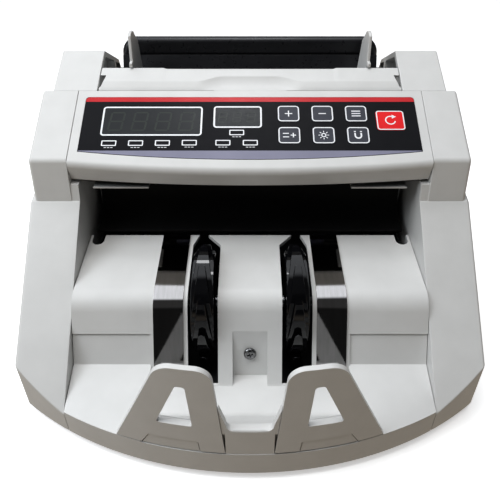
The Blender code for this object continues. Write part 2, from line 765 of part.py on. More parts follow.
def make_prong(side, sign):
    inner_foot, inner_top, outer_top, outer_foot = PRONG_OUTER
    outer = [(inner_foot, PRONG_FOOT), (inner_top, PRONG_TOP), (outer_top, PRONG_TOP),
             (outer_foot, PRONG_FOOT)] + PRONG_NOTCH
    outline = [(sign * x, height) for x, height in rounded(outer[::-1], PRONG_RADII[::-1])]
    window = [(sign * x, height) for x, height in rounded(PRONG_WINDOW, PRONG_WINDOW_RADII)]
    prong = fore_and_aft(f"stacker_prong_{side}", outline, 0.0, PRONG_THICKNESS, casing())
    cut = fore_and_aft(f"prong_opening_{side}", window, -5.0, 30.0, cutter=True)
    mesh = bmesh.new()
    mesh.from_mesh(prong.data)
    for x in range(16, 76, 6):
        everything = mesh.verts[:] + mesh.edges[:] + mesh.faces[:]
        bmesh.ops.bisect_plane(mesh, geom=everything, dist=1e-7,
                               plane_co=(sign * x * MM, 0, 0), plane_no=(1, 0, 0))
    bmesh.ops.triangulate(mesh, faces=mesh.faces)
    for vertex in mesh.verts:
        vertex.co.y += front_recess(vertex.co.x / MM) * MM
    mesh.to_mesh(prong.data)
    mesh.free()
    boolean(prong, 'DIFFERENCE', cut)


def make_rear_cover():
    line = [(DECK_FRONT, REAR_DECK), (DEPTH, REAR_DECK), (DEPTH, FOOT_HEIGHT)]
    half = POCKET_HALF - 0.4
    cover = across("rear_cover", ribbon(line, WALL), -half, half, casing())
    trimmed = TOWER_INNER - GAP
    for sign in (-1, 1):
        notch = box(f"rear_notch_{sign}", (sign * trimmed, sign * 130.0), (240.0, 270.0),
                    (TOWER_FOOT - GAP, REAR_DECK + 5), cutter=True)
        boolean(cover, 'DIFFERENCE', notch)
    for i in range(VENTS):
        height = FIRST_VENT + VENT_PITCH * i
        vent = box(f"vent_{i}", (-VENT_HALF, VENT_HALF), (250.0, 270.0),
                   (height, height + VENT_HEIGHT), cutter=True)
        boolean(cover, 'DIFFERENCE', vent)
    inlet = box("inlet_opening", (INLET_X[0] - GAP, INLET_X[1] + GAP), (250.0, 270.0),
                (INLET_HEIGHTS[0] - GAP, INLET_HEIGHTS[1] + GAP), cutter=True)
    stem = post("knob_opening", 0.0, KNOB_DEPTH, KNOB_STEM + GAP, STEM_FOOT, 155.0, cutter=True)
    boolean(cover, 'DIFFERENCE', inlet, stem)


def make_rear_fittings():
    """Inlet module: mains socket with three pins beside the well of the rocker."""
    inlet = box("power_inlet", INLET_X, (INLET_FACE, DEPTH), INLET_HEIGHTS, black_plastic())
    socket = box("inlet_socket", SOCKET_X, (SOCKET_FLOOR, 270.0), SOCKET_HEIGHTS, cutter=True)
    well = box("switch_well", SWITCH_X, (246.0, 270.0), SWITCH_HEIGHTS, cutter=True)
    boolean(inlet, 'DIFFERENCE', socket, well)
    for i, (x, height) in enumerate(PINS):
        pin = box(f"inlet_pin_{i}", (x - 1.0, x + 1.0), (SOCKET_FLOOR - 2, 258.0),
                  (height - 2, height + 2), cutter=True)
        boolean(inlet, 'UNION', pin)
    tilt = math.radians(ROCKER_TILT)
    rocker = []
    for out, up in ((4.6, -7.0), (4.6, 7.0), (1.0, 7.0), (-3.0, 0.0), (1.0, -7.0)):
        rocker.append((ROCKER_AXIS[0] + out * math.cos(tilt) - up * math.sin(tilt),
                       ROCKER_AXIS[1] + out * math.sin(tilt) + up * math.cos(tilt)))
    across("power_rocker", rocker, SWITCH_X[0] + GAP, SWITCH_X[1] - GAP, black_plastic())


def make_knob():
    """Fluted thumb knob with a stem that goes down through the deck."""
    flute_depth = 0.9
    knob = post("gap_adjust_knob", 0.0, KNOB_DEPTH, KNOB_RADIUS, REAR_DECK + GAP, KNOB_TOP,
                black_plastic(), sides=2 * KNOB_FLUTES)
    centre = place(0.0, KNOB_DEPTH, 0.0)
    for vertex in knob.data.vertices:
        if math.atan2(vertex.co.y - centre.y, vertex.co.x) * KNOB_FLUTES / math.pi % 2 > 1:
            continue
        vertex.co.x *= flute_depth
        vertex.co.y = centre.y + (vertex.co.y - centre.y) * flute_depth
    stem = post("knob_stem", 0.0, KNOB_DEPTH, KNOB_STEM, STEM_FOOT, 152.0, cutter=True)
    boolean(knob, 'UNION', stem)


# ---------------------------------------------------------------- hopper

def make_hopper():
    wall = ribbon(WALL_PROFILE, HOPPER_THICKNESS)
    across("hopper_front_wall", wall, -WALL_HALF, WALL_HALF, casing())
    slab = ribbon(PLATE_PROFILE, HOPPER_THICKNESS)
    plate = across("hopper_plate", slab, -PLATE_HALF, PLATE_HALF, black_plastic())
    for side, sign in (("left", -1), ("right", 1)):
        slot = box(f"pickup_slot_{side}", (sign * PICKUP_SLOT[0], sign * PICKUP_SLOT[1]),
                   (215.0, 235.0), (140.0, 160.0), cutter=True)
        boolean(plate, 'DIFFERENCE', slot)
        make_hopper_guide(side, sign)
    rod("guide_rod", ROD_AXIS, ROD_RADIUS, -ROD_HALF, ROD_HALF, steel(), sides=16)


def make_hopper_guide(side, sign):
    """Upright fin, with a nub over the front wall and a foot block on the rod."""
    crown = arc(GUIDE_CROWN, GUIDE_CROWN_RADIUS, 40, 128, 7)
    near, far = GUIDE_DEPTHS
    outline = [(near, GUIDE_FOOT), (far, GUIDE_FOOT)] + GUIDE_REAR + crown + GUIDE_NUB
    inner = GUIDE_X - GUIDE_THICKNESS / 2
    outer = GUIDE_X + GUIDE_THICKNESS / 2
    guide = across(f"hopper_guide_{side}", outline, sign * inner, sign * outer, casing())
    reach, block_rear, block_top = GUIDE_BLOCK
    block = box(f"guide_block_{side}", (sign * inner, sign * (outer + reach)), (near, block_rear),
                (GUIDE_FOOT, block_top), cutter=True)
    bore = rod(f"guide_bore_{side}", ROD_AXIS, ROD_RADIUS + GAP, sign * 70, sign * 100,
               cutter=True, sides=16)
    boolean(guide, 'UNION', block)
    boolean(guide, 'DIFFERENCE', bore)


def make_handle():
    low = HANDLE_AXIS[1] - 5.2
    inside = HANDLE_HALF - HANDLE_LEG
    under = HANDLE_TOP - HANDLE_BAR
    arch = [(-HANDLE_HALF, low), (-HANDLE_HALF, HANDLE_TOP), (HANDLE_HALF, HANDLE_TOP),
            (HANDLE_HALF, low), (inside, low), (inside, under), (-inside, under), (-inside, low)]
    outline = rounded(arch[::-1], HANDLE_RADII)
    handle = fore_and_aft("carry_handle", outline, *HANDLE_DEPTHS, black_plastic())
    for side, sign in (("left", -1), ("right", 1)):
        trunnion = rod(f"trunnion_{side}", HANDLE_AXIS, TRUNNION_RADIUS,
                       sign * TRUNNION_SPAN[0], sign * TRUNNION_SPAN[1], cutter=True)
        boolean(handle, 'UNION', trunnion)


# ---------------------------------------------------------------- mechanism

def make_side_frame(side, sign):
    plate = across(f"side_frame_{side}", FRAME_OUTLINE, sign * FRAME_INNER,
                   sign * (FRAME_INNER + FRAME_THICKNESS), zinc())
    for name, axis in (("pickup", PICKUP_AXIS), ("feed", FEED_AXIS),
                       ("transport", TRANSPORT_AXIS), ("stacker", WHEEL_AXIS)):
        bore = rod(f"{name}_bore_{side}", axis, SHAFT_RADIUS + GAP, sign * 100, sign * 115,
                   cutter=True)
        boolean(plate, 'DIFFERENCE', bore)


def make_shaft(name, axis, pulley_radius, pulley_x, roller_name, roller_radius, roller_span,
               surface):
    shaft = rod(f"{name}_shaft", axis, SHAFT_RADIUS, -SHAFT_HALF, SHAFT_HALF, steel())
    pulley = rod(f"{name}_pulley", axis, pulley_radius, pulley_x - PULLEY_HALF,
                 pulley_x + PULLEY_HALF, cutter=True)
    boolean(shaft, 'UNION', pulley)
    for side, sign in (("left", -1), ("right", 1)):
        roller = rod(f"{roller_name}_{side}", axis, roller_radius, sign * roller_span[0],
                     sign * roller_span[1], surface, sides=28)
        bore = rod(f"{roller_name}_bore_{side}", axis, SHAFT_RADIUS + GAP,
                   sign * (roller_span[0] - 5), sign * (roller_span[1] + 5), cutter=True)
        boolean(roller, 'DIFFERENCE', bore)


def polar(x, radius, degrees):
    """World point at x, at that radius and angle round the stacker shaft; 0 points backwards."""
    angle = math.radians(degrees)
    return place(x, WHEEL_AXIS[0] + radius * math.cos(angle),
                 WHEEL_AXIS[1] + radius * math.sin(angle))


def make_blades(name, middle, half):
    """All the leaves of one wheel, each a closed strip of four-cornered sections."""
    steps = 7
    mesh = bmesh.new()
    for blade in range(BLADES):
        rings = []
        for i in range(steps + 1):
            share = i / steps
            angle = FIRST_TIP + 360 / BLADES * blade + BLADE_REACH * share
            outer = WHEEL_RADIUS - BLADE_FALL * share
            inner = outer - BLADE_THICKNESS
            width = TIP_HALF + (half - GAP - TIP_HALF) * share
            corners = ((-width, outer), (width, outer), (width, inner), (-width, inner))
            rings.append([mesh.verts.new(polar(middle + x, radius, angle))
                          for x, radius in corners])
        for ring, following in zip(rings, rings[1:]):
            for i in range(4):
                j = (i + 1) % 4
                mesh.faces.new((ring[i], ring[j], following[j], following[i]))
        mesh.faces.new(rings[0])
        mesh.faces.new(rings[-1][::-1])
    return finish(name, mesh, None, cutter=True)


def make_stacker():
    shaft = rod("stacker_shaft", WHEEL_AXIS, SHAFT_RADIUS, -SHAFT_HALF, SHAFT_HALF, steel())
    pulley = rod("stacker_pulley", WHEEL_AXIS, STACKER_PULLEY, STACKER_BELT_X - PULLEY_HALF,
                 STACKER_BELT_X + PULLEY_HALF, cutter=True)
    boolean(shaft, 'UNION', pulley)
    for side, sign in (("left", -1), ("right", 1)):
        wheel = rod(f"stacker_wheel_{side}", WHEEL_AXIS, WHEEL_CORE, sign * WHEEL_SPAN[0],
                    sign * WHEEL_SPAN[1], gloss_black(), sides=44)
        middle = sign * sum(WHEEL_SPAN) / 2
        half = (WHEEL_SPAN[1] - WHEEL_SPAN[0]) / 2
        boolean(wheel, 'UNION', make_blades(f"blades_{side}", middle, half))
        bore = rod(f"wheel_bore_{side}", WHEEL_AXIS, SHAFT_RADIUS + GAP,
                   sign * (WHEEL_SPAN[0] - 5), sign * (WHEEL_SPAN[1] + 5), cutter=True)
        boolean(wheel, 'DIFFERENCE', bore)


def make_belt(name, circles, x_middle):
    half = BELT_WIDTH / 2
    outer = belt_hull(circles, GAP + BELT_THICKNESS)
    inner = belt_hull(circles, GAP)
    belt = across(name, outer, x_middle - half, x_middle + half, rubber())
    core = across(f"{name}_core", inner, x_middle - half - 2, x_middle + half + 2, cutter=True)
    boolean(belt, 'DIFFERENCE', core)


def make_motor():
    motor = rod("main_motor", MOTOR_AXIS, MOTOR_RADIUS, *MOTOR_SPAN, zinc(), sides=32)
    foot = box("motor_foot", (MOTOR_SPAN[0] + 4, MOTOR_SPAN[1] - 6),
               (MOTOR_AXIS[0] - MOTOR_FOOT_HALF, MOTOR_AXIS[0] + MOTOR_FOOT_HALF),
               (FOOT_HEIGHT + WALL + GAP, 30.0), cutter=True)
    boolean(motor, 'UNION', foot)
    rod("motor_pulley", MOTOR_AXIS, MOTOR_PULLEY, -105.0, MOTOR_SPAN[0] - 0.5, steel())
    make_belt("feed_belt", [(*MOTOR_AXIS, MOTOR_PULLEY), (*TRANSPORT_AXIS, TRANSPORT_PULLEY),
                            (*FEED_AXIS, FEED_PULLEY), (*PICKUP_AXIS, PICKUP_PULLEY)], FEED_BELT_X)
    make_belt("stacker_belt", [(*MOTOR_AXIS, MOTOR_PULLEY), (*WHEEL_AXIS, STACKER_PULLEY)],
              STACKER_BELT_X)


def make_note_path():
    curve = CHUTE_FRONT + arc(CHUTE_CENTRE, CHUTE_RADIUS, -80, -8, 6) + [CHUTE_REAR]
    across("note_chute", ribbon(curve, CHUTE_THICKNESS), -CHUTE_HALF, CHUTE_HALF, black_plastic())
    roller = rod("separator_roller", SEPARATOR_AXIS, SEPARATOR_RADIUS, -SEPARATOR_HALF,
                 SEPARATOR_HALF, rubber())
    bore = rod("separator_bore", SEPARATOR_AXIS, SEPARATOR_PIN + GAP, -20, 20, cutter=True)
    boolean(roller, 'DIFFERENCE', bore)
    bracket = box("separator_bracket", (-BRACKET_HALF, BRACKET_HALF), (190.0, 204.0),
                  (143.0, 161.0), zinc())
    inside = BRACKET_HALF - BRACKET_WALL
    gap = box("bracket_gap", (-inside, inside), (180.0, 210.0), (130.0, 158.5), cutter=True)
    pin = rod("bracket_pin", SEPARATOR_AXIS, SEPARATOR_PIN, -20.0, 20.0, cutter=True)
    boolean(bracket, 'DIFFERENCE', gap)
    boolean(bracket, 'UNION', pin)
    rod("uv_lamp", LAMP_AXIS, LAMP_RADIUS, -LAMP_HALF, LAMP_HALF,
        material("lamp_glass", (0.5, 0.5, 0.75), 0.1), sides=16)
    box("magnetic_head", (-9.0, 9.0), (150.0, 158.0), (120.5, 128.0), zinc())


def make_electronics():
    box("main_board", (-80.0, 80.0), (244.5, 246.1), (62.0, 132.0), board_green())
    box("transformer", (14.0, 74.0), (184.0, 230.0), (FOOT_HEIGHT + WALL + GAP, 56.0), zinc())


# ---------------------------------------------------------------- assembly

clear_scene()
make_base()
make_control_head()
make_panel()
make_stacker_housing()
make_strips_and_screw()
make_rear_cover()
make_rear_fittings()
make_knob()
make_hopper()
make_handle()
make_stacker()
make_shaft("pickup", PICKUP_AXIS, PICKUP_PULLEY, FEED_BELT_X, "pickup_roller", PICKUP_RADIUS,
           PICKUP_SPAN, rubber())
make_shaft("feed", FEED_AXIS, FEED_PULLEY, FEED_BELT_X, "feed_roller", FEED_RADIUS,
           FEED_SPAN, rubber())
make_shaft("transport", TRANSPORT_AXIS, TRANSPORT_PULLEY, FEED_BELT_X, "transport_roller",
           TRANSPORT_RADIUS, TRANSPORT_SPAN, rubber())
make_motor()
make_note_path()
make_electronics()
for side_name, direction in (("left", -1), ("right", 1)):
    make_side_cover(side_name, direction)
    make_prong(side_name, direction)
    make_side_frame(side_name, direction)
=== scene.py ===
"""Looks of the banknote counting machine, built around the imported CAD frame.

Dimensions are millimetres in the machine's own terms, as in its CAD source: x to the user's
right, depth back from the front, height above the table. place() turns them into metres.
"""
import math

import bmesh
import bpy
from mathutils import Matrix, Vector


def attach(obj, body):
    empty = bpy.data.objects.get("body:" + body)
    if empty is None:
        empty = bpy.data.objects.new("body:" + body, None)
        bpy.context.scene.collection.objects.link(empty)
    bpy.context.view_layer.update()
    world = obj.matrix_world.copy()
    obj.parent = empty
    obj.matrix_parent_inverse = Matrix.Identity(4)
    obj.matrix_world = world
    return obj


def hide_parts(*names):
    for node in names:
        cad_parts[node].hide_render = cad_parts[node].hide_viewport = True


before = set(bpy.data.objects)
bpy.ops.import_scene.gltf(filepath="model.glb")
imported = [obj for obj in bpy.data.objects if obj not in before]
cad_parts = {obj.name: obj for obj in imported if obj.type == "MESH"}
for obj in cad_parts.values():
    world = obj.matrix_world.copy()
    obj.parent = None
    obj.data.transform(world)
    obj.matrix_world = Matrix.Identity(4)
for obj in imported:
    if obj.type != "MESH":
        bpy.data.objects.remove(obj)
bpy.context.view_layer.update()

MM = 0.001
DEPTH = 262.0
HALF_WIDTH = 145.0
FRONT_RADIUS = 235.0
WALL = 2.5
FOOT_HEIGHT = 6.0

POCKET_HALF = 112.0
HEAD_SEAM = 117.0
HEAD_BLOCK_HALF = 142.0
TOWER_INNER = 104.8
TOWER_OUTER = 135.0
ARM_TOE = (20.0, 13.7)
ARM_TOP = (129.0, 111.0)
ARM_DECK = 118.0
VISOR_TOP = (134.0, 138.0)
VISOR_BOTTOM = (131.5, 123.5)
HEAD_REAR = (184.0, 166.0)
HEAD_BOW = 5.0
NOSE_REACH = 2.7
NOSE_BOW = 1.4
VISOR_TUCK = (3.8, 0.2)
VISOR_FLANGE = (15.0, -0.8)
TOWER_PEAK = (220.0, 183.3)
TOWER_REAR = (258.0, 167.0)
TOWER_FOOT = 145.0
TOWER_FRONT = 184.4
BLOCK_FOOT = 100.0
REAR_DECK = 150.0
PANEL_TILT = math.atan2(HEAD_REAR[1] - VISOR_TOP[1], HEAD_REAR[0] - VISOR_TOP[0])

MEMBRANE_HALF = 111.0
MEMBRANE_SPAN = (7.0, 51.5)
MEMBRANE_BOW = 6.3
FOIL_TOP = 0.1
KEY_TOP = 0.5
COUNT_WINDOW = (-97.3, -32.5, 20.2, 42.5)
BATCH_WINDOW = (-23.4, 7.0, 26.6, 42.9)
PRINT = 0.03
STRIPE_WIDTH = 3.9
DIGIT_SLANT = 0.12
COUNT_DIGITS = {"count": 4, "pitch": 15.5, "centre": (-65.2, 31.0), "size": (8.6, 14.6),
                "stroke": 1.25}
BATCH_DIGITS = {"count": 3, "pitch": 9.5, "centre": (-8.6, 34.4), "size": (5.0, 8.0),
                "stroke": 0.8}
LAMP_SIZE = (9.8, 4.4)
LAMP_WINDOWS = [(-91.6, 13.3), (-74.2, 13.4), (-56.8, 13.5), (-39.4, 13.7), (-8.7, 21.9),
                (-17.6, 13.7), (0.2, 13.7)]
KEY_SIZE = (14.6, 13.4)
KEY_COLUMNS = (25.7, 48.2, 70.7)
KEY_ROWS = {
    37.3: ("key_plus", "key_minus", "key_batch"),
    19.5: ("key_add", "key_uv_check", "key_magnetic_check"),
}
KEY_GAP = 0.15
RESTART_CENTRE = (93.1, 31.7)
RESTART_SIZE = (18.8, 16.2)

FLOOR_HEIGHT = 22.6
LIP_HEIGHT = 44.4
LIP_SOFT = 1.3
SCOOP_FOOT = 29.5
SCOOP_RADIUS = 7.0
FLOOR_REAR = 50.3
SHELF_HEIGHT = 24.0
SHELF_REAR = (57.6, 33.8)
RIB_HALF = 62.8
LOWER_SLOPE = (56.3, 34.0)
CREASE = (77.0, 71.6)
CREASE_TANGENT = 9.0
HOUSING_REAR = (135.7, 79.5)
SLOT_NARROWS = 125.4
SLOT_END = (29.1, 35.3)
WELL_CENTRE = (105.7, 130.2)
WELL_RADIUS = 4.2
NICHE_HALF = 11.0
NICHE_TOP = (66.0, 51.6)
NICHE_FOOT = (58.1, FLOOR_HEIGHT)
SCREW_AT = (62.3, 38.2)
SCREW_RADIUS = 4.0
SCREW_HEIGHT = 2.0
WHEEL_AXIS = (96.7, 52.0)
WHEEL_RADIUS = 40.0
WHEEL_CORE = 33.0
WHEEL_SPAN = (22.3, 36.9)
WHEEL_SLOT = (20.2, 39.1)
STRIP_SPAN = (41.7, 60.5)
BLADES = 11
FIRST_TIP = 71.7
BLADE_REACH = 62.0
BLADE_FALL = 7.6
BLADE_THICKNESS = 1.3
PRONG_TOP = 90.2
PRONG_THICKNESS = 3.2
PRONG_SEAT = 3.6
PRONG_OUTLINE = [(13.8, 24.6), (19.3, PRONG_TOP), (46.5, PRONG_TOP), (76.6, 24.6), (61.5, 24.6),
                 (56.6, 33.0), (28.4, 33.0), (27.5, 24.6)]
PRONG_WINDOW = [(30.9, 46.0), (50.9, 46.0), (37.9, 77.0), (32.9, 77.0)]
SEAT_OUTLINE = [(27.85, 24.1), (28.75, 32.65), (56.4, 32.65), (61.15, 24.1)]
TAB_HALF = 13.45

HOPPER_WALL_HALF = 104.3
PLATE_HALF = 98.6
PLATE_LINE = [(208.9, REAR_DECK), (236.0, REAR_DECK), (248.0, 173.0)]
FIN_SPAN = (82.7, 84.9)
FIN_CARRIER = (84.0, 90.9)
HANDLE_HALF = 99.8
HANDLE_TOP = 184.5
HANDLE_FOOT = 152.8
HANDLE_DEPTHS = (250.6, 261.0)
HANDLE_LEG = 11.0
HANDLE_BAR = 14.0
HANDLE_SOFT = 4.2
HANDLE_AXIS = (255.8, 158.0)


# ---- placing

def place(x, depth, height):
    """World point; as a view, it carries an (x, depth) outline upwards."""
    return Vector((x * MM, (depth - DEPTH / 2) * MM, height * MM))


def panel_point(x, up, out=0.0):
    """World point up along the sloping panel and out along its normal; also a view."""
    depth = VISOR_TOP[0] + up * math.cos(PANEL_TILT) - out * math.sin(PANEL_TILT)
    height = VISOR_TOP[1] + up * math.sin(PANEL_TILT) + out * math.cos(PANEL_TILT)
    return place(x, depth, height)


def side_view(u, v, w):
    """Maps a (depth, height) outline carried along x."""
    return place(w, u, v)


def front_view(u, v, w):
    """Maps an (x, height) outline carried backwards."""
    return place(u, w, v)


# ---- outlines

def arc(centre, radius, start, end, steps):
    angles = [math.radians(start + (end - start) * i / steps) for i in range(steps + 1)]
    return [(centre[0] + radius * math.cos(a), centre[1] + radius * math.sin(a)) for a in angles]


def offset_line(points, distance, closed):
    """The polyline moved to the left of its direction by distance, mitred."""
    moved = []
    count = len(points)
    for i, point in enumerate(points):
        here = Vector(point)
        sides = []
        if closed or i > 0:
            sides.append((here - Vector(points[i - 1])).normalized())
        if closed or i < count - 1:
            sides.append((Vector(points[(i + 1) % count]) - here).normalized())
        normals = [Vector((-side.y, side.x)) for side in sides]
        bisector = sum(normals, Vector((0, 0))).normalized()
        moved.append(tuple(here + bisector * distance / max(0.3, bisector.dot(normals[0]))))
    return moved


def ribbon(points, thickness):
    """A closed outline round an open polyline, thick to the right of its direction."""
    return points + offset_line(points, -thickness, False)[::-1]


def anticlockwise(outline):
    area = sum(a[0] * b[1] - b[0] * a[1] for a, b in zip(outline, outline[1:] + outline[:1]))
    return outline if area > 0 else outline[::-1]


def rounded(outline, radii, steps=5):
    """A closed outline with each corner replaced by an arc of its radius."""
    if not hasattr(radii, "__len__"):
        radii = [radii] * len(outline)
    result = []
    count = len(outline)
    for i, (corner, radius) in enumerate(zip(outline, radii)):
        here = Vector(corner)
        if radius <= 0:
            result.append(tuple(corner))
            continue
        back = (Vector(outline[i - 1]) - here).normalized()
        ahead = (Vector(outline[(i + 1) % count]) - here).normalized()
        half = back.angle(ahead) / 2
        centre = here + (back + ahead).normalized() * radius / math.sin(half)
        first = here + back * radius / math.tan(half) - centre
        last = here + ahead * radius / math.tan(half) - centre
        sweep = first.angle_signed(last)
        for step in range(steps + 1):
            turned = first.copy()
            turned.rotate(Matrix.Rotation(-sweep * step / steps, 2))
            result.append(tuple(centre + turned))
    return result


def rectangle(x_from, x_to, y_from, y_to, radius=0.0):
    outline = [(x_from, y_from), (x_to, y_from), (x_to, y_to), (x_from, y_to)]
    return rounded(outline, radius) if radius else outline


def mirrored(outline, sign):
    return [(sign * u, v) for u, v in outline]


def front_recess(x):
    """How far the arched front lies behind its middle at x."""
    return FRONT_RADIUS - math.sqrt(FRONT_RADIUS ** 2 - x ** 2)


def plan_outline(margin):
    """Plan of the whole machine with its arched front, drawn in by margin."""
    radius = FRONT_RADIUS - margin
    half = HALF_WIDTH - margin
    reach = math.degrees(math.asin(half / radius))
    front = arc((0, FRONT_RADIUS), radius, -90 - reach, -90 + reach, 48)
    return front + [(half, DEPTH - margin), (-half, DEPTH - margin)]


# ---- meshes

def add_loft(mesh, rings):
    """A closed body through rings of world points, capped at both ends."""
    rows = [[mesh.verts.new(point) for point in ring] for ring in rings]
    count = len(rows[0])
    for row, following in zip(rows, rows[1:]):
        for i in range(count):
            j = (i + 1) % count
            mesh.faces.new((row[i], row[j], following[j], following[i]))
    mesh.faces.new(rows[0][::-1])
    mesh.faces.new(rows[-1])


def quarter_round(radius, steps):
    """Pairs of (distance from the end, distance drawn in), from the end inwards."""
    if not radius:
        return [(0.0, 0.0)]
    angles = [math.pi / 2 * i / steps for i in range(steps + 1)]
    return [(radius * (1 - math.cos(a)), radius * (1 - math.sin(a))) for a in angles]


def add_solid(mesh, outline, low, high, view, soft_low=0.0, soft_high=0.0, steps=4):
    """An outline carried from low to high, its two ends rounded over with the soft radii."""
    outline = anticlockwise(list(outline))
    inward = math.copysign(1, high - low)
    levels = [(low + inward * back, drawn_in) for back, drawn_in in quarter_round(soft_low, steps)]
    levels += [(high - inward * back, drawn_in)
               for back, drawn_in in quarter_round(soft_high, steps)[::-1]]
    rings = []
    for level, drawn_in in levels:
        line = offset_line(outline, drawn_in, True) if drawn_in > 1e-6 else outline
        rings.append([view(u, v, level) for u, v in line])
    add_loft(mesh, rings)


def facing_along(origin, axis):
    """The matrix that stands a body, made round z at zero, at origin along axis."""
    return Matrix.Translation(origin) @ Vector(axis).to_track_quat('Z', 'X').to_matrix().to_4x4()


def add_turned(mesh, profile, origin, axis, steps=32):
    """A body turned round an axis: profile is (radius, distance along the axis) in mm."""
    turn = facing_along(origin, axis)
    rings = []
    for radius, along in profile:
        ring = []
        for i in range(steps):
            angle = 2 * math.pi * i / steps
            ring.append(turn @ Vector((radius * MM * math.cos(angle),
                                       radius * MM * math.sin(angle), along * MM)))
        rings.append(ring)
    add_loft(mesh, rings)


def raw_object(mesh, name="raw"):
    bmesh.ops.remove_doubles(mesh, verts=mesh.verts, dist=1e-7)
    bmesh.ops.recalc_face_normals(mesh, faces=mesh.faces)
    data = bpy.data.meshes.new(name)
    mesh.to_mesh(data)
    mesh.free()
    obj = bpy.data.objects.new(name, data)
    bpy.context.scene.collection.objects.link(obj)
    return obj


def solid(outline, low, high, view, soft_low=0.0, soft_high=0.0, steps=4):
    mesh = bmesh.new()
    add_solid(mesh, outline, low, high, view, soft_low, soft_high, steps)
    return raw_object(mesh)


def bake_modifiers(obj):
    graph = bpy.context.evaluated_depsgraph_get()
    data = bpy.data.meshes.new_from_object(obj.evaluated_get(graph))
    obj.modifiers.clear()
    obj.data = data


def combine(obj, operation, *tools):
    """Joins, cuts or trims obj by each tool, and removes the tools."""
    for tool in tools:
        step = obj.modifiers.new("combine", 'BOOLEAN')
        step.operation = operation
        step.solver = 'EXACT'
        step.object = tool
        bake_modifiers(obj)
        bpy.data.objects.remove(tool)
    return obj


def refine(obj, edge=0.0, segments=3, sharp=32.0):
    """Rounds the remaining sharp edges and smooths the shading."""
    obj.data.polygons.foreach_set("use_smooth", [True] * len(obj.data.polygons))
    if edge:
        bevel = obj.modifiers.new("edge radius", 'BEVEL')
        bevel.width = edge * MM
        bevel.segments = segments
        bevel.limit_method = 'ANGLE'
        bevel.angle_limit = math.radians(sharp)
        bevel.miter_outer = 'MITER_ARC'
    else:
        obj.data.set_sharp_from_angle(angle=math.radians(sharp))
    normals = obj.modifiers.new("weighted normals", 'WEIGHTED_NORMAL')
    normals.keep_sharp = True


def piece(name, obj, surface, nodes=(), body="chassis", edge=0.0, segments=3, sharp=32):
    """Names a finished object, gives it its material and hangs it on its CAD body."""
    if isinstance(obj, bmesh.types.BMesh):
        obj = raw_object(obj)
    obj.name = name
    obj.data.name = name
    obj.data.materials.clear()
    obj.data.materials.append(surface)
    refine(obj, edge, segments, sharp)
    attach(obj, body)
    if nodes:
        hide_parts(*nodes)


# ---- materials

def noise(tree, vector, scale, detail, stretch):
    mapping = tree.nodes.new("ShaderNodeMapping")
    mapping.inputs["Scale"].default_value = stretch
    tree.links.new(vector, mapping.inputs["Vector"])
    texture = tree.nodes.new("ShaderNodeTexNoise")
    texture.inputs["Scale"].default_value = scale
    texture.inputs["Detail"].default_value = detail
    tree.links.new(mapping.outputs["Vector"], texture.inputs["Vector"])
    return texture.outputs["Fac"]


def spread(tree, value, low, high):
    """Stretches a noise value, mostly between 0.3 and 0.7, over low to high."""
    node = tree.nodes.new("ShaderNodeMapRange")
    node.inputs["From Min"].default_value = 0.3
    node.inputs["From Max"].default_value = 0.7
    node.inputs["To Min"].default_value = low
    node.inputs["To Max"].default_value = high
    tree.links.new(value, node.inputs["Value"])
    return node.outputs["Result"]


def finish_material(name, colour, other, roughness, grain=1600, bump=0.08, patch=60.0,
                    metallic=0.0, coat=0.0, stretch=(1, 1, 1), specular=0.5):
    """Two close colours in soft patches, a roughness range, and a fine grain in relief."""
    made = bpy.data.materials.new(name)
    made.use_nodes = True
    tree = made.node_tree
    shader = tree.nodes["Principled BSDF"]
    vector = tree.nodes.new("ShaderNodeTexCoord").outputs["Object"]
    mix = tree.nodes.new("ShaderNodeMix")
    mix.data_type = 'RGBA'
    mix.inputs["A"].default_value = (*colour, 1)
    mix.inputs["B"].default_value = (*other, 1)
    tree.links.new(spread(tree, noise(tree, vector, patch, 3.0, stretch), 0, 1),
                   mix.inputs["Factor"])
    tree.links.new(mix.outputs["Result"], shader.inputs["Base Color"])
    tree.links.new(spread(tree, noise(tree, vector, patch * 5, 4.0, stretch), *roughness),
                   shader.inputs["Roughness"])
    if bump:
        relief = tree.nodes.new("ShaderNodeBump")
        relief.inputs["Strength"].default_value = bump
        relief.inputs["Distance"].default_value = 0.0001
        tree.links.new(noise(tree, vector, grain, 3.0, stretch), relief.inputs["Height"])
        tree.links.new(relief.outputs["Normal"], shader.inputs["Normal"])
    shader.inputs["Metallic"].default_value = metallic
    shader.inputs["Specular IOR Level"].default_value = specular
    shader.inputs["Coat Weight"].default_value = coat
    shader.inputs["Coat Roughness"].default_value = 0.05
    return made


CASING = finish_material("moulded_casing", (0.61, 0.61, 0.60), (0.58, 0.58, 0.57), (0.36, 0.46),
                         grain=2200, bump=0.12)
BASE = finish_material("textured_base", (0.055, 0.055, 0.06), (0.04, 0.04, 0.044), (0.5, 0.65),
                       grain=1200, bump=0.4)
RUBBER = finish_material("foot_rubber", (0.022, 0.022, 0.022), (0.035, 0.034, 0.033),
                         (0.7, 0.85), grain=900, bump=0.5)
ROLLER = finish_material("roller_rubber", (0.045, 0.044, 0.043), (0.07, 0.068, 0.066),
                         (0.6, 0.8), grain=1400, bump=0.6, stretch=(1, 4, 4))
BELT = finish_material("belt_rubber", (0.02, 0.02, 0.021), (0.03, 0.03, 0.031), (0.5, 0.7),
                       grain=1500, bump=0.4, stretch=(3, 1, 1))
BLACK = finish_material("satin_black", (0.012, 0.012, 0.014), (0.018, 0.018, 0.02),
                        (0.26, 0.34), grain=1800, bump=0.1)
# matt black of the note chute, also used as painted shade on the sheet under the head's flange
CHUTE_AND_SHADE_BLACK = finish_material("matt_black_chute_and_painted_shade", (0.006, 0.006, 0.006), (0.009, 0.009, 0.009),
                        (0.5, 0.6), grain=900, bump=0.05, specular=0.15)
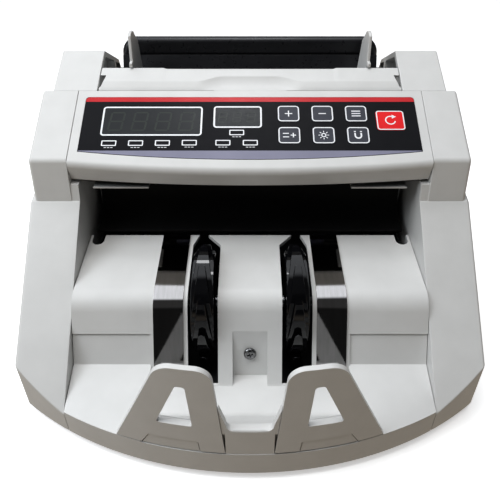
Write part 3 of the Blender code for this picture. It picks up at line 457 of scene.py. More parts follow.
GLOSS = finish_material("gloss_black_wheel", (0.004, 0.004, 0.005), (0.006, 0.006, 0.007),
                        (0.025, 0.045), grain=300, bump=0.01)
CHROME = finish_material("polished_strip", (0.44, 0.43, 0.43), (0.38, 0.375, 0.37), (0.03, 0.07),
                         grain=500, bump=0.03, metallic=1.0, stretch=(8, 1, 1))
STEEL = finish_material("ground_steel", (0.62, 0.62, 0.63), (0.54, 0.54, 0.56), (0.18, 0.32),
                        grain=900, bump=0.1, metallic=1.0, stretch=(12, 1, 1))
ZINC = finish_material("zinc_plate", (0.50, 0.51, 0.52), (0.40, 0.41, 0.43), (0.3, 0.5),
                       grain=400, bump=0.1, metallic=1.0, patch=200)
FOIL = finish_material("printed_foil", (0.009, 0.009, 0.011), (0.011, 0.011, 0.013),
                       (0.38, 0.44), bump=0.05, specular=0.1)
STRIPE = finish_material("red_print", (0.52, 0.016, 0.022), (0.48, 0.014, 0.02), (0.3, 0.38),
                         specular=0.3)
CRESCENT = finish_material("grey_print", (0.225, 0.225, 0.30), (0.205, 0.205, 0.275),
                           (0.3, 0.38), specular=0.3)
INK = finish_material("white_print", (0.80, 0.81, 0.83), (0.74, 0.75, 0.77), (0.35, 0.42))
KEY_FACE = finish_material("key_film", (0.040, 0.043, 0.056), (0.048, 0.051, 0.065),
                           (0.34, 0.42), specular=0.25)
KEY_RED = finish_material("red_key_film", (0.72, 0.012, 0.016), (0.66, 0.01, 0.014),
                          (0.34, 0.42), specular=0.25)
WINDOW = finish_material("smoked_window", (0.012, 0.014, 0.016), (0.016, 0.018, 0.02),
                         (0.3, 0.36), grain=200, bump=0.02, specular=0.25)
SEGMENT = finish_material("unlit_segment", (0.027, 0.032, 0.028), (0.023, 0.028, 0.025),
                          (0.3, 0.4), bump=0.05, specular=0.25)
BOARD = finish_material("solder_mask", (0.02, 0.10, 0.045), (0.026, 0.13, 0.06), (0.3, 0.45),
                        grain=900, bump=0.2, patch=500)
LAMP = finish_material("lamp_glass", (0.42, 0.42, 0.62), (0.5, 0.5, 0.68), (0.08, 0.15),
                       grain=300, bump=0.02, coat=0.5)
SCREW = finish_material("black_oxide_screw", (0.30, 0.30, 0.30), (0.16, 0.16, 0.165),
                        (0.15, 0.28), grain=900, bump=0.2, metallic=1.0, patch=900)


# ---- casing

def arm_section(x):
    """Side profile of an arm at x, where the arched front cuts it."""
    front = front_recess(x)
    rise = (ARM_TOP[1] - ARM_TOE[1]) / (ARM_TOP[0] - ARM_TOE[0])
    toe = (front, ARM_TOE[1] + rise * (front - ARM_TOE[0]))
    outline = [(front, FOOT_HEIGHT), (DEPTH, FOOT_HEIGHT), (DEPTH, ARM_DECK),
               (140.0, ARM_DECK - 4), ARM_TOP, toe]
    return rounded(outline, [0, 0, 1.5, 4, 4, 2.2], 5)


def make_arm(sign):
    soft = 2.0
    steps = 5
    levels = [(POCKET_HALF, 0.5), (POCKET_HALF + 0.15, 0.15), (POCKET_HALF + 0.5, 0.0)]
    levels += [(x, 0.0) for x in range(115, 142, 3)]
    for i in range(steps + 1):
        angle = math.pi / 2 * i / steps
        levels.append((HALF_WIDTH - soft + soft * math.sin(angle), soft * (1 - math.cos(angle))))
    mesh = bmesh.new()
    rings = []
    for x, drawn_in in levels:
        line = anticlockwise(arm_section(min(x, HALF_WIDTH - 0.01)))
        if drawn_in:
            line = offset_line(line, drawn_in, True)
        rings.append([place(sign * x, depth, max(height, FOOT_HEIGHT)) for depth, height in line])
    add_loft(mesh, rings)
    return raw_object(mesh)


def make_side_cover(side, sign):
    """Arm, head block and hopper tower in one, hollowed where the other pieces pass."""
    head = rounded([(140.0, BLOCK_FOOT), (DEPTH, BLOCK_FOOT), (DEPTH, REAR_DECK),
                    (190.0, REAR_DECK), HEAD_REAR, VISOR_TOP, ARM_TOP],
                   [0, 0, 1.5, 0, 0, 4.5, 0], 6)
    tower = rounded([(TOWER_FRONT, TOWER_FOOT), (DEPTH, TOWER_FOOT), (DEPTH, 160.0), TOWER_REAR,
                     TOWER_PEAK, (TOWER_FRONT, HEAD_REAR[1])], [0, 0, 1, 4, 2.5, 0], 6)
    rear = rectangle(TOWER_FRONT, DEPTH - 0.2, BLOCK_FOOT, REAR_DECK - 0.2)
    under = [(140.0, BLOCK_FOOT), (178.0, BLOCK_FOOT), (178.0, VISOR_BOTTOM[1] - 1.8),
             (VISOR_BOTTOM[0] + 0.3, VISOR_BOTTOM[1] - 1.8), (ARM_TOP[0] + 0.3, ARM_TOP[1])]
    blocks = [
        solid(head, sign * (HEAD_SEAM + 0.4), sign * HEAD_BLOCK_HALF, side_view, 0.4, 2.4, 5),
        solid(tower, sign * TOWER_INNER, sign * TOWER_OUTER, side_view, 0.6, 1.2),
        solid(rear, sign * POCKET_HALF, sign * (TOWER_OUTER - 1), side_view),
        solid(under, sign * POCKET_HALF, sign * 125.0, side_view, 0.3, 0),
    ]
    cover = combine(make_arm(sign), 'UNION', *blocks)
    tray = solid(plan_outline(WALL + 0.3), -20, FOOT_HEIGHT + WALL + 0.3, place)
    pocket = solid(rounded([(190.0, 156.0), (243.0, 156.0), (243.0, 170.0), (220.0, 179.0),
                            (198.0, 169.5)], 1.5), sign * 100.0, sign * 111.0, side_view)
    niche = solid(rounded([(247.0, 150.5), (259.0, 150.5), (259.0, 163.5), (247.0, 168.0)], 1.0),
                  sign * 100.0, sign * 107.5, side_view)
    combine(cover, 'DIFFERENCE', tray, pocket, niche)
    piece(f"side_cover_{side}_shell", cover, CASING,
          [f"side_cover_{side}"], sharp=28)


def visor_edges(x):
    """The nose over the visor and the visor's lower edge at x, both bowed forward."""
    bowed = 1 - (x / HEAD_SEAM) ** 2
    along = Vector((math.cos(PANEL_TILT), math.sin(PANEL_TILT)))
    nose = Vector(VISOR_TOP) - along * (HEAD_BOW * bowed + NOSE_REACH + NOSE_BOW * bowed)
    low = Vector(VISOR_BOTTOM) + Vector(VISOR_TUCK) - along * HEAD_BOW * bowed
    return nose, low


def head_section(x):
    """The head's shell at x, from its rear edge over the panel to the flange under the visor."""
    nose, low = visor_edges(x)
    flange = low + Vector(VISOR_FLANGE)
    outer = [(HEAD_REAR[0], HEAD_REAR[1] - 9), HEAD_REAR, nose, low, flange]
    closed = ribbon(outer[::-1], WALL)
    return rounded(closed, [0.3, 1.6, 4.5, 0, 0, 0, 0, 2.2, 0, 0.3], 6)


def make_control_head():
    head = loft_sections(head_section, spaced(-HEAD_SEAM, HEAD_SEAM, 44))
    recess = solid(membrane_outline(0.3), -1.0, 5.0, panel_point)
    hole = solid(rectangle(-104, 107, 11.6, 46.5), -20, 5, panel_point)
    combine(head, 'DIFFERENCE', recess, hole)
    piece("control_head_shell", head, CASING, ["control_head"], sharp=28)


def membrane_outline(margin):
    half = MEMBRANE_HALF + margin
    steps = 32
    lower = []
    for i in range(steps + 1):
        x = half * (2 * i / steps - 1)
        lower.append((x, MEMBRANE_SPAN[0] - margin - MEMBRANE_BOW * (1 - (x / half) ** 2)))
    upper = MEMBRANE_SPAN[1] + margin
    corner = rounded([(0, 0), (half, MEMBRANE_SPAN[0]), (half, upper), (-half, upper),
                      (-half, MEMBRANE_SPAN[0])], [0, 0, 2.2, 2.2, 0], 5)
    return lower + corner[2:-1]


def ring_outline(mesh, window, radius, width, low, high):
    """A frame with rounded corners, as printed round a window."""
    x_from, x_to, up_from, up_to = window
    outer = rectangle(x_from, x_to, up_from, up_to, radius)
    inner = rectangle(x_from + width, x_to - width, up_from + width, up_to - width,
                      max(0.15, radius - width))
    rows = []
    for line, out in ((outer, low), (outer, high), (inner, high), (inner, low)):
        rows.append([mesh.verts.new(panel_point(x, up, out)) for x, up in line])
    count = len(outer)
    for row, following in zip(rows, rows[1:] + rows[:1]):
        for i in range(count):
            j = (i + 1) % count
            mesh.faces.new((row[i], row[j], following[j], following[i]))


def strokes(mesh, lines, centre, width, low, high):
    """Straight marks given as pairs of (x, up) ends relative to centre."""
    for start, end in lines:
        run = (Vector(end) - Vector(start)).normalized() * width / 2
        side = Vector((-run.y, run.x))
        a = Vector(start) + Vector(centre) - run
        b = Vector(end) + Vector(centre) + run
        add_solid(mesh, [a - side, b - side, b + side, a + side], low, high, panel_point)


def arc_mark(mesh, centre, radius, start, end, width, low, high, steps=14):
    line = ribbon(arc(centre, radius + width / 2, end, start, steps), width)
    add_solid(mesh, line, low, high, panel_point)


def seven_segments(mesh, centre, size, width, low, high):
    """The seven bars of one unlit digit, leaning to the right."""
    half_x, half_y = size[0] / 2, size[1] / 2
    gap = width * 0.62
    bars = []
    for y in (-half_y, 0.0, half_y):
        bars.append(((-half_x + gap, y), (half_x - gap, y)))
    for x in (-half_x, half_x):
        for y in (-half_y, 0.0):
            bars.append(((x, y + gap), (x, y + half_y - gap)))
    for bar in bars:
        start, end = [Vector((x + y * DIGIT_SLANT, y)) + Vector(centre) for x, y in bar]
        tip = (end - start).normalized() * width / 2
        side = Vector((-tip.y, tip.x))
        outline = [start - tip, start - side, end - side, end + tip, end + side, start + side]
        add_solid(mesh, outline, low, high, panel_point)


def key_window(centre, size, radius):
    """Cutter for the opening of one key."""
    half_x, half_y = size[0] / 2 + KEY_GAP, size[1] / 2 + KEY_GAP
    x, up = centre
    return solid(rectangle(x - half_x, x + half_x, up - half_y, up + half_y, radius), -3, 3,
                 panel_point)


def make_foil():
    foil = solid(membrane_outline(0.0), -0.7, FOIL_TOP, panel_point)
    for up in KEY_ROWS:
        for x in KEY_COLUMNS:
            combine(foil, 'DIFFERENCE', key_window((x, up), KEY_SIZE, 2.6))
    combine(foil, 'DIFFERENCE', key_window(RESTART_CENTRE, RESTART_SIZE, 2.3))
    piece("membrane_foil", foil, FOIL, ["panel_membrane"])

    low, high = FOIL_TOP, FOIL_TOP + PRINT
    half = MEMBRANE_HALF
    top = MEMBRANE_SPAN[1]
    foot = top - STRIPE_WIDTH
    stripe = rounded([(-half, foot), (half, foot), (half, top), (-half, top)],
                     [0, 0, 2.2, 2.2], 5)
    mesh = bmesh.new()
    add_solid(mesh, stripe, low, high, panel_point)
    piece("membrane_red_stripe", mesh, STRIPE)

    steps = 40
    lower = []
    for i in range(steps + 1):
        x = (half - 0.3) * (2 * i / steps - 1)
        lower.append((x, MEMBRANE_SPAN[0] + 0.05 - MEMBRANE_BOW * (1 - (x / half) ** 2)))
    crescent = lower + [(side * (half - 0.3), MEMBRANE_SPAN[0] + 0.45) for side in (1, -1)]
    mesh = bmesh.new()
    add_solid(mesh, crescent, low, high, panel_point)
    piece("membrane_lower_print", mesh, CRESCENT)

    mesh = bmesh.new()
    for window in (COUNT_WINDOW, BATCH_WINDOW):
        grown = (window[0] - 0.9, window[1] + 0.9, window[2] - 0.9, window[3] + 0.9)
        ring_outline(mesh, grown, 2.3, 1.15, low, high)
    half_x, half_y = LAMP_SIZE[0] / 2, LAMP_SIZE[1] / 2
    for x, up in LAMP_WINDOWS:
        ring_outline(mesh, (x - half_x, x + half_x, up - half_y, up + half_y), 0.6, 0.75, low, high)
        for shift in (-2.1, 0.0, 2.1):
            strokes(mesh, [((shift - 0.55, 0), (shift + 0.55, 0))], (x, up - 3.5), 0.45, low, high)
    piece("membrane_frames", mesh, INK)


def make_displays():
    face = FOIL_TOP + 0.02
    for name, window, digits in (("count_display", COUNT_WINDOW, COUNT_DIGITS),
                                 ("batch_display", BATCH_WINDOW, BATCH_DIGITS)):
        glass = solid(rectangle(*window, 1.5), FOIL_TOP, face, panel_point)
        piece(f"{name}_window", glass, WINDOW, [name])
        mesh = bmesh.new()
        for i in range(digits["count"]):
            x = digits["centre"][0] + digits["pitch"] * (i - (digits["count"] - 1) / 2)
            seven_segments(mesh, (x, digits["centre"][1]), digits["size"], digits["stroke"],
                           face, FOIL_TOP + 0.035)
        piece(f"{name}_digits", mesh, SEGMENT)


def key_marks(name, mesh, centre, low, high):
    """Pictogram of each key."""
    x, up = centre
    if name in ("key_plus", "key_minus"):
        lines = [((-2.1, 0), (2.1, 0))]
        if name == "key_plus":
            lines.append(((0, -2.1), (0, 2.1)))
        strokes(mesh, lines, centre, 0.75, low, high)
    elif name == "key_batch":
        for i in range(3):
            strokes(mesh, [((-2.6, 0), (2.6, 0))], (x, up - 2.0 + 2.0 * i), 0.8, low, high)
    elif name == "key_add":
        strokes(mesh, [((-3.8, -1.4), (-0.6, -1.4)), ((-3.8, 1.4), (-0.6, 1.4)),
                       ((1.2, 0), (4.0, 0)), ((2.6, -1.4), (2.6, 1.4))], centre, 0.75, low, high)
    elif name == "key_uv_check":
        arc_mark(mesh, centre, 1.35, 0, 359, 0.7, low, high, 24)
        for i in range(8):
            angle = math.radians(45 * i)
            ray = Vector((math.cos(angle), math.sin(angle)))
            strokes(mesh, [(tuple(ray * 2.5), tuple(ray * 3.2))], centre, 0.55, low, high)
    elif name == "key_magnetic_check":
        arc_mark(mesh, (x, up - 0.4), 2.0, 180, 360, 1.1, low, high, 14)
        strokes(mesh, [((-2.0, 0), (-2.0, 1.2)), ((2.0, 0), (2.0, 1.2))], centre, 1.1, low, high)
        strokes(mesh, [((-2.25, 2.9), (-1.75, 2.9)), ((1.75, 2.9), (2.25, 2.9))], centre, 0.8, low, high)
    else:
        arc_mark(mesh, centre, 3.2, 60, 345, 0.85, low, high, 22)
        tip = [(x + 1.2, up + 4.6), (x + 1.1, up + 1.2), (x + 4.0, up + 2.9)]
        add_solid(mesh, tip, low, high, panel_point)


def make_keys():
    keys = {name: ((x, up), KEY_SIZE) for up, names in KEY_ROWS.items()
            for x, name in zip(KEY_COLUMNS, names)}
    keys["key_restart"] = (RESTART_CENTRE, RESTART_SIZE)
    for name, (centre, size) in keys.items():
        x, up = centre
        half_x, half_y = size[0] / 2, size[1] / 2
        red = name == "key_restart"
        radius = 2.2 if red else 2.5
        outline = rectangle(x - half_x, x + half_x, up - half_y, up + half_y, radius)
        cap = solid(outline, -0.9, KEY_TOP - 0.06, panel_point, 0, 0.35)
        piece(f"{name}_cap", cap, KEY_RED if red else KEY_FACE, [name], name)
        low, high = KEY_TOP - 0.06, KEY_TOP - 0.02
        mesh = bmesh.new()
        inset = 0.2
        ring_outline(mesh, (x - half_x + inset, x + half_x - inset, up - half_y + inset,
                            up + half_y - inset), radius - 0.2, 0.8, low, high)
        key_marks(name, mesh, centre, low, high)
        piece(f"{name}_print", mesh, INK, body=name)


# ---- stacker

def slope_line():
    """Slope of the housing from the niche's top up to its rear edge."""
    steps = 14
    corner = Vector(CREASE)
    down = (Vector(LOWER_SLOPE) - corner).normalized()
    back = (Vector(HOUSING_REAR) - corner).normalized()
    start = corner + down * CREASE_TANGENT
    end = corner + back * CREASE_TANGENT
    curve = []
    for i in range(steps + 1):
        t = i / steps
        curve.append(tuple(start * (1 - t) ** 2 + corner * 2 * t * (1 - t) + end * t ** 2))
    return [NICHE_TOP] + curve + [HOUSING_REAR]


def middle_section(x):
    """Lip, scoop, floor and slope at x, from the front foot up to the rear edge."""
    front = front_recess(x)
    seat = front + (0.3 if abs(x) <= TAB_HALF else PRONG_SEAT)
    points = [(front, FOOT_HEIGHT), (front, SHELF_HEIGHT - 0.6), (seat, SHELF_HEIGHT - 0.3)]
    points += arc((seat + LIP_SOFT, LIP_HEIGHT - LIP_SOFT), LIP_SOFT, 180, 90, 5)
    points += [(front + 4.6, LIP_HEIGHT - 0.05), (front + 6.4, LIP_HEIGHT - 0.9)]
    points += arc((SCOOP_FOOT, FLOOR_HEIGHT + SCOOP_RADIUS), SCOOP_RADIUS, 232, 270, 5)
    points += [(FLOOR_REAR - 1.4, FLOOR_HEIGHT), (FLOOR_REAR, FLOOR_HEIGHT + 1.2)]
    under = [(front + WALL, FOOT_HEIGHT), (front + WALL, FLOOR_HEIGHT - WALL)]
    return closed_shell(points, under)


def closed_shell(front_points, under):
    """The front points and the slope above them, closed by a plain line a wall behind."""
    slope = slope_line()
    inside = offset_line([(FLOOR_REAR, FLOOR_HEIGHT)] + slope, -WALL, False)
    return front_points + slope + inside[:0:-1] + [(49.0, FLOOR_HEIGHT - WALL)] + under[::-1]


def outer_section(x):
    """Front band, ledge and slope at x."""
    front = front_recess(x)
    seat = 1.2
    points = [(front, FOOT_HEIGHT), (front, SHELF_HEIGHT - 0.8), (front + 0.25, SHELF_HEIGHT - 0.2),
              (front + seat, SHELF_HEIGHT)]
    for i in range(1, 6):
        share = i / 6
        points.append((front + seat + (SHELF_REAR[0] - 1.6 - front - seat) * share,
                       SHELF_HEIGHT + (SHELF_REAR[1] - 0.4 - SHELF_HEIGHT) * share))
    points += [(SHELF_REAR[0] - 0.6, SHELF_REAR[1]), (SHELF_REAR[0] + 0.5, SHELF_REAR[1] + 1.6),
               (NICHE_TOP[0] + 0.6, NICHE_TOP[1] - 0.9)]
    under = [(front + WALL, FOOT_HEIGHT), (front + WALL, SHELF_HEIGHT - WALL)]
    return closed_shell(points, under)


def loft_sections(section, xs):
    mesh = bmesh.new()
    add_loft(mesh, [[place(x, depth, height) for depth, height in section(x)] for x in xs])
    return raw_object(mesh)


def spaced(start, end, count):
    return [start + (end - start) * i / count for i in range(count + 1)]


def make_housing():
    edge = POCKET_HALF - 0.4
    beside = spaced(TAB_HALF + 0.25, RIB_HALF, 17)
    stations = [-x for x in reversed(beside)] + spaced(-TAB_HALF, TAB_HALF, 9) + beside
    housing = loft_sections(middle_section, stations)
    for sign in (-1, 1):
        outer = loft_sections(outer_section, spaced(sign * (RIB_HALF - 0.4), sign * edge, 18))
        combine(housing, 'UNION', outer)
    niche = solid([(NICHE_TOP[0] + 0.8, NICHE_TOP[1] + 1.4), (40, NICHE_TOP[1] + 1.4),
                   (40, FLOOR_HEIGHT), NICHE_FOOT], -NICHE_HALF, NICHE_HALF, side_view)
    back = solid([(NICHE_TOP[0] + 3.4, NICHE_TOP[1] + 1.0), (NICHE_TOP[0] + 0.5, NICHE_TOP[1] + 1.0),
                  NICHE_FOOT, (NICHE_FOOT[0], FLOOR_HEIGHT - 2), (NICHE_FOOT[0] + 4, FLOOR_HEIGHT - 2)],
                 -NICHE_HALF - 2, NICHE_HALF + 2, side_view)
    cheeks = solid([(49.0, FLOOR_HEIGHT - 2), (NICHE_FOOT[0] + 2, FLOOR_HEIGHT - 2),
                    (NICHE_TOP[0] + 2, NICHE_TOP[1] - 1), (NICHE_TOP[0] - 0.3, NICHE_TOP[1] - 1),
                    (FLOOR_REAR, FLOOR_HEIGHT)], -NICHE_HALF - 2, NICHE_HALF + 2, side_view)
    combine(housing, 'UNION', cheeks, back)
    combine(housing, 'DIFFERENCE', niche)
    far = HOUSING_REAR[0]
    plan = [(WHEEL_SLOT[0], 49.4), (WHEEL_SLOT[1], 49.4), (WHEEL_SLOT[1], SLOT_NARROWS),
            (SLOT_END[1], far), (SLOT_END[1], far + 10), (SLOT_END[0], far + 10),
            (SLOT_END[0], far), (WHEEL_SLOT[0], SLOT_NARROWS)]
    well = arc(WELL_CENTRE, WELL_RADIUS, 180, 360, 20)
    well += [(WELL_CENTRE[0] + side * WELL_RADIUS, far + 10) for side in (1, -1)]
    for sign in (-1, 1):
        for outline, low in ((plan, FLOOR_HEIGHT + 0.6), (well, 60.0)):
            combine(housing, 'DIFFERENCE', solid(mirrored(outline, sign), low, 120.0, place))
    combine(housing, 'UNION', make_gusset(-1), make_gusset(1))
    piece("stacker_housing_shell", housing, CASING, ["stacker_housing"],
          edge=0.35, segments=2, sharp=34)
    mesh = bmesh.new()
    for sign in (-1, 1):
        add_turned(mesh, [(4.0, 0), (4.0, 3.2), (3.7, 3.6), (2.2, 3.6), (1.9, 3.2), (1.9, 0.6),
                          (0.2, 0.6)], place(sign * WELL_CENTRE[0], WELL_CENTRE[1], 71.0),
                   (0, 0, 1), 32)
    piece("housing_screw_bosses", mesh, SCREW, sharp=40)


def make_strips():
    line = slope_line()
    run = (Vector(CREASE) - Vector(LOWER_SLOPE)).normalized()
    line = [tuple(Vector(LOWER_SLOPE) - run * 11.5)] + line
    line[-1] = tuple(Vector(line[-1]) - (Vector(line[-1]) - Vector(line[-2])).normalized())
    raised = offset_line(line, 1.1, False)
    for side, sign in (("left", -1), ("right", 1)):
        strip = solid(ribbon(raised, 0.8), sign * STRIP_SPAN[0], sign * STRIP_SPAN[1], side_view,
                      0.12, 0.12, 2)
        piece(f"guide_strip_{side}_polished", strip, CHROME,
              [f"guide_strip_{side}"])


def pan_head(mesh, origin, axis, radius, height):
    """The domed head of a screw, before its recess is cut."""
    add_turned(mesh, [(radius, 0), (radius, height * 0.35), (radius * 0.93, height * 0.65),
                      (radius * 0.75, height * 0.9), (radius * 0.5, height)],
               origin, axis, 28)


def cross_cutters(origin, axis, radius, height):
    """Two tapered wedges at right angles, for the recess of a screw's head."""
    turn = facing_along(origin, axis)
    cutters = []
    for angle in (20, 110):
        spin = turn @ Matrix.Rotation(math.radians(angle), 4, 'Z')
        mesh = bmesh.new()
        rings = []
        for reach, level in ((0.3, 0.35), (0.62, 1.4)):
            long, wide = radius * reach, radius * 0.12
            corners = ((-long, -wide), (long, -wide), (long, wide), (-long, wide))
            rings.append([spin @ (Vector((x, y, height * level)) * MM) for x, y in corners])
        add_loft(mesh, rings)
        cutters.append(raw_object(mesh))
    return cutters


def make_housing_screw():
    rise = Vector(NICHE_TOP) - Vector(NICHE_FOOT)
    axis = Vector((0, -rise.y, rise.x)).normalized()
    origin = place(0.0, *SCREW_AT) + axis * 0.2 * MM
    mesh = bmesh.new()
    pan_head(mesh, origin, axis, SCREW_RADIUS, SCREW_HEIGHT)
    head = raw_object(mesh)
    combine(head, 'DIFFERENCE', *cross_cutters(origin, axis, SCREW_RADIUS, SCREW_HEIGHT))
    piece("housing_screw_head", head, SCREW, ["housing_screw"])


def bent_to_front(outline, thickness, setback=0.0, holes=()):
    """A plate seen from the front, following the arched front of the machine."""
    plate = solid(outline, setback, setback + thickness, front_view)
    for hole in holes:
        combine(plate, 'DIFFERENCE', solid(hole, setback - 5, setback + thickness + 5, front_view))
    mesh = bmesh.new()
    mesh.from_mesh(plate.data)
    bpy.data.objects.remove(plate)
    low = min(outline)[0]
    high = max(outline)[0]
    for x in spaced(low, high, max(2, round((high - low) / 3.0)))[1:-1]:
        bmesh.ops.bisect_plane(mesh, geom=mesh.verts[:] + mesh.edges[:] + mesh.faces[:],
                               dist=1e-7, plane_co=(x * MM, 0, 0), plane_no=(1, 0, 0))
    for vertex in mesh.verts:
        vertex.co.y += front_recess(vertex.co.x / MM) * MM
    return raw_object(mesh)


def make_gusset(sign):
    """Web from the lip up a prong's inner leg."""
    web = [(9.0, LIP_HEIGHT - 3.0), (15.0, LIP_HEIGHT - 3.5), (16.5, 61.0), (12.8, LIP_HEIGHT + 4.0)]
    web += arc((8.8, LIP_HEIGHT + 3.6), 4.0, -15, -88, 5)
    return bent_to_front(mirrored(web, sign), 4.0, 0.45)


def make_prong(side, sign):
    outline = rounded(PRONG_OUTLINE, [0, 9, 12, 0, 0, 0.8, 0.8, 0], 10)
    window = rounded(PRONG_WINDOW, [1.2, 1.2, 1.8, 1.8], 5)
    prong = bent_to_front(mirrored(outline, sign), PRONG_THICKNESS, holes=[mirrored(window, sign)])
    piece(f"stacker_prong_{side}_moulding", prong, CASING,
          [f"stacker_prong_{side}"], edge=0.9, segments=4, sharp=35)
    cover = bent_to_front(mirrored(SEAT_OUTLINE, sign), 2.9, 0.35)
    piece(f"prong_seat_{side}", cover, CASING, edge=0.25, segments=2)


def polar(x, radius, degrees):
    angle = math.radians(degrees)
    return place(x, WHEEL_AXIS[0] + radius * math.cos(angle), WHEEL_AXIS[1] + radius * math.sin(angle))


def make_wheel(side, sign):
    """Core drum with leaf-shaped blades that start at a narrow rounded tip."""
    middle = sign * sum(WHEEL_SPAN) / 2
    half = (WHEEL_SPAN[1] - WHEEL_SPAN[0]) / 2
    axis_point = place(middle - half, *WHEEL_AXIS)
    width = 2 * half
    mesh = bmesh.new()
    face = [(4.6, 0.8), (9.5, 0.8), (10.3, 0), (12.4, 0), (13.2, 1.6), (27.0, 1.6), (27.8, 0.2),
            (WHEEL_CORE - 0.5, 0.2), (WHEEL_CORE, 0.7)]
    far_face = [(radius, width - along) for radius, along in face[::-1]]
    add_turned(mesh, face + far_face, axis_point, (1, 0, 0), 88)
    core = raw_object(mesh)
    steps = 18
    leaves = bmesh.new()
    for blade in range(BLADES):
        rings = []
        for i in range(steps + 1):
            share = (i / steps) ** 1.25
            angle = FIRST_TIP + 360 / BLADES * blade + BLADE_REACH * share
            outer = WHEEL_RADIUS - 0.05 - BLADE_FALL * share
            inner = outer - BLADE_THICKNESS * min(1.0, 0.55 + 2 * share)
            reach = min(1.0, share / 0.9)
            wide = 1.9 + (half - 0.3 - 1.9) * reach
            tip = min(1.0, share / 0.035)
            wide *= 0.25 + 0.75 * math.sqrt(1 - (1 - tip) ** 2)
            rim = 0.3
            corners = ((-wide, inner + rim), (-wide, outer - rim), (-wide + rim, outer),
                       (wide - rim, outer), (wide, outer - rim), (wide, inner + rim),
                       (wide - rim, inner), (-wide + rim, inner))
            rings.append([polar(middle + x, radius, angle) for x, radius in corners])
        add_loft(leaves, rings)
    wheel = combine(core, 'UNION', raw_object(leaves))
    piece(f"stacker_wheel_{side}_moulding", wheel, GLOSS,
          [f"stacker_wheel_{side}"], "stacker_rotor", sharp=38)


def painted_shade_sheet_section(x):
    """Thin near-black sheet under the head's flange, following the visor's bow: painted shade where the
    head overhangs the note pocket.
    """
    low = visor_edges(x)[1]
    return ribbon([low + Vector((1.6, -0.5)), low + Vector((26.0, -1.8))], 0.6)


def make_pocket_bars():
    """Near-black sheet of painted shade over the note pocket under the head, and the guide edges that
    show at both sides of it.
    """
    half = POCKET_HALF - 0.5
    # painted shade: a near-black sheet where the head overhangs the pocket
    painted_shade_sheet = loft_sections(painted_shade_sheet_section, spaced(-half, half, 30))
    piece("pocket_painted_shade_sheet", painted_shade_sheet, CHUTE_AND_SHADE_BLACK)
    mesh = bmesh.new()
    for sign in (-1, 1):
        add_solid(mesh, rectangle(135.0, 152.0, 117.0, 118.3, 0.3), sign * 67.0, sign * 104.0,
                  side_view, 0.3, 0.3, 2)
    piece("pocket_guide_edges", mesh, CASING)


# ---- hopper

def smooth_step(t):
    t = max(0.0, min(1.0, t))
    return t * t * (3 - 2 * t)


def hopper_section(x):
    """Wall profile at x: riser, ridge and plate; the ridge draws back over the finger scoop."""
    scoop = smooth_step((38.0 - abs(x)) / 20.0)
    outer = smooth_step((abs(x) - 59.0) / 2.0) * 0.7
    plate = Vector((12.5, 5.3)).normalized()
    ridge = Vector((192.0, 170.0)) + plate * 5.6 * scoop
    top = Vector((204.5, 174.6 + outer))
    foot = Vector((186.3, 165.6))
    hollow = foot + (ridge - foot) * 0.45 + Vector((1.6, -1.5)) * scoop
    points = [(186.3, 157.0), (186.3, 165.0), foot + (hollow - foot) * 0.12, hollow,
              ridge - (ridge - hollow) * 0.12, ridge + plate * 0.7, top - plate * 0.6,
              (205.6, 174.5 + outer), (206.6, 172.9), (206.6, 152.0)]
    inside = [(204.8, 152.0), (204.8, 172.2), (ridge.x + 1.0, ridge.y - 2.4),
              (hollow.x + 1.6, hollow.y - 1.6), (188.1, 163.9), (188.1, 157.0)]
    return points + inside


def make_hopper_wall():
    wall = loft_sections(hopper_section, spaced(-HOPPER_WALL_HALF, HOPPER_WALL_HALF, 150))
    for sign in (-1, 1):
        notch = mirrored([(100.4, 172.4), (106.0, 172.4), (106.0, 166.6), (103.6, 166.6)], sign)
        combine(wall, 'DIFFERENCE', solid(notch, 185.0, 200.0, front_view))
    piece("hopper_front_wall_moulding", wall, CASING,
          ["hopper_front_wall"], edge=0.25, segments=2, sharp=40)


def make_hopper_plate():
    """Black floor of the hopper, turned up at the rear, with a slot over each pickup roller."""
    plate = solid(ribbon(PLATE_LINE, 2.0), -PLATE_HALF, PLATE_HALF, side_view, 0.3, 0.3, 2)
    for sign in (-1, 1):
        slot = mirrored(rectangle(23.5, 46.5, 215.0, 233.0, 1.0), sign)
        combine(plate, 'DIFFERENCE', solid(slot, 140.0, 160.0, place))
    piece("hopper_plate_moulding", plate, BLACK, ["hopper_plate"],
          edge=0.3, segments=2)


def make_fin(side, sign):
    """Upright hopper guide with the carrier that slides on the rod."""
    crown = arc((216.5, 187.0), 10.4, 128, 40, 16)
    outline = [(208.2, 152.8), (235.2, 152.8), (240.2, 165.6), (233.0, 187.5), *crown[::-1],
               (207.6, 179.5), (203.4, 178.6), (203.2, 176.2), (208.2, 176.0)]
    fin = bmesh.new()
    add_solid(fin, outline, sign * FIN_SPAN[0], sign * FIN_SPAN[1], side_view, 0.55, 0.55, 3)
    add_solid(fin, rectangle(208.2, 215.0, 152.8, 161.0, 0.8), sign * FIN_CARRIER[0],
              sign * FIN_CARRIER[1], side_view, 0.3, 0.5, 3)
    piece(f"hopper_guide_{side}_moulding", fin, CASING, [f"hopper_guide_{side}"],
          f"guide_{side}", sharp=40)


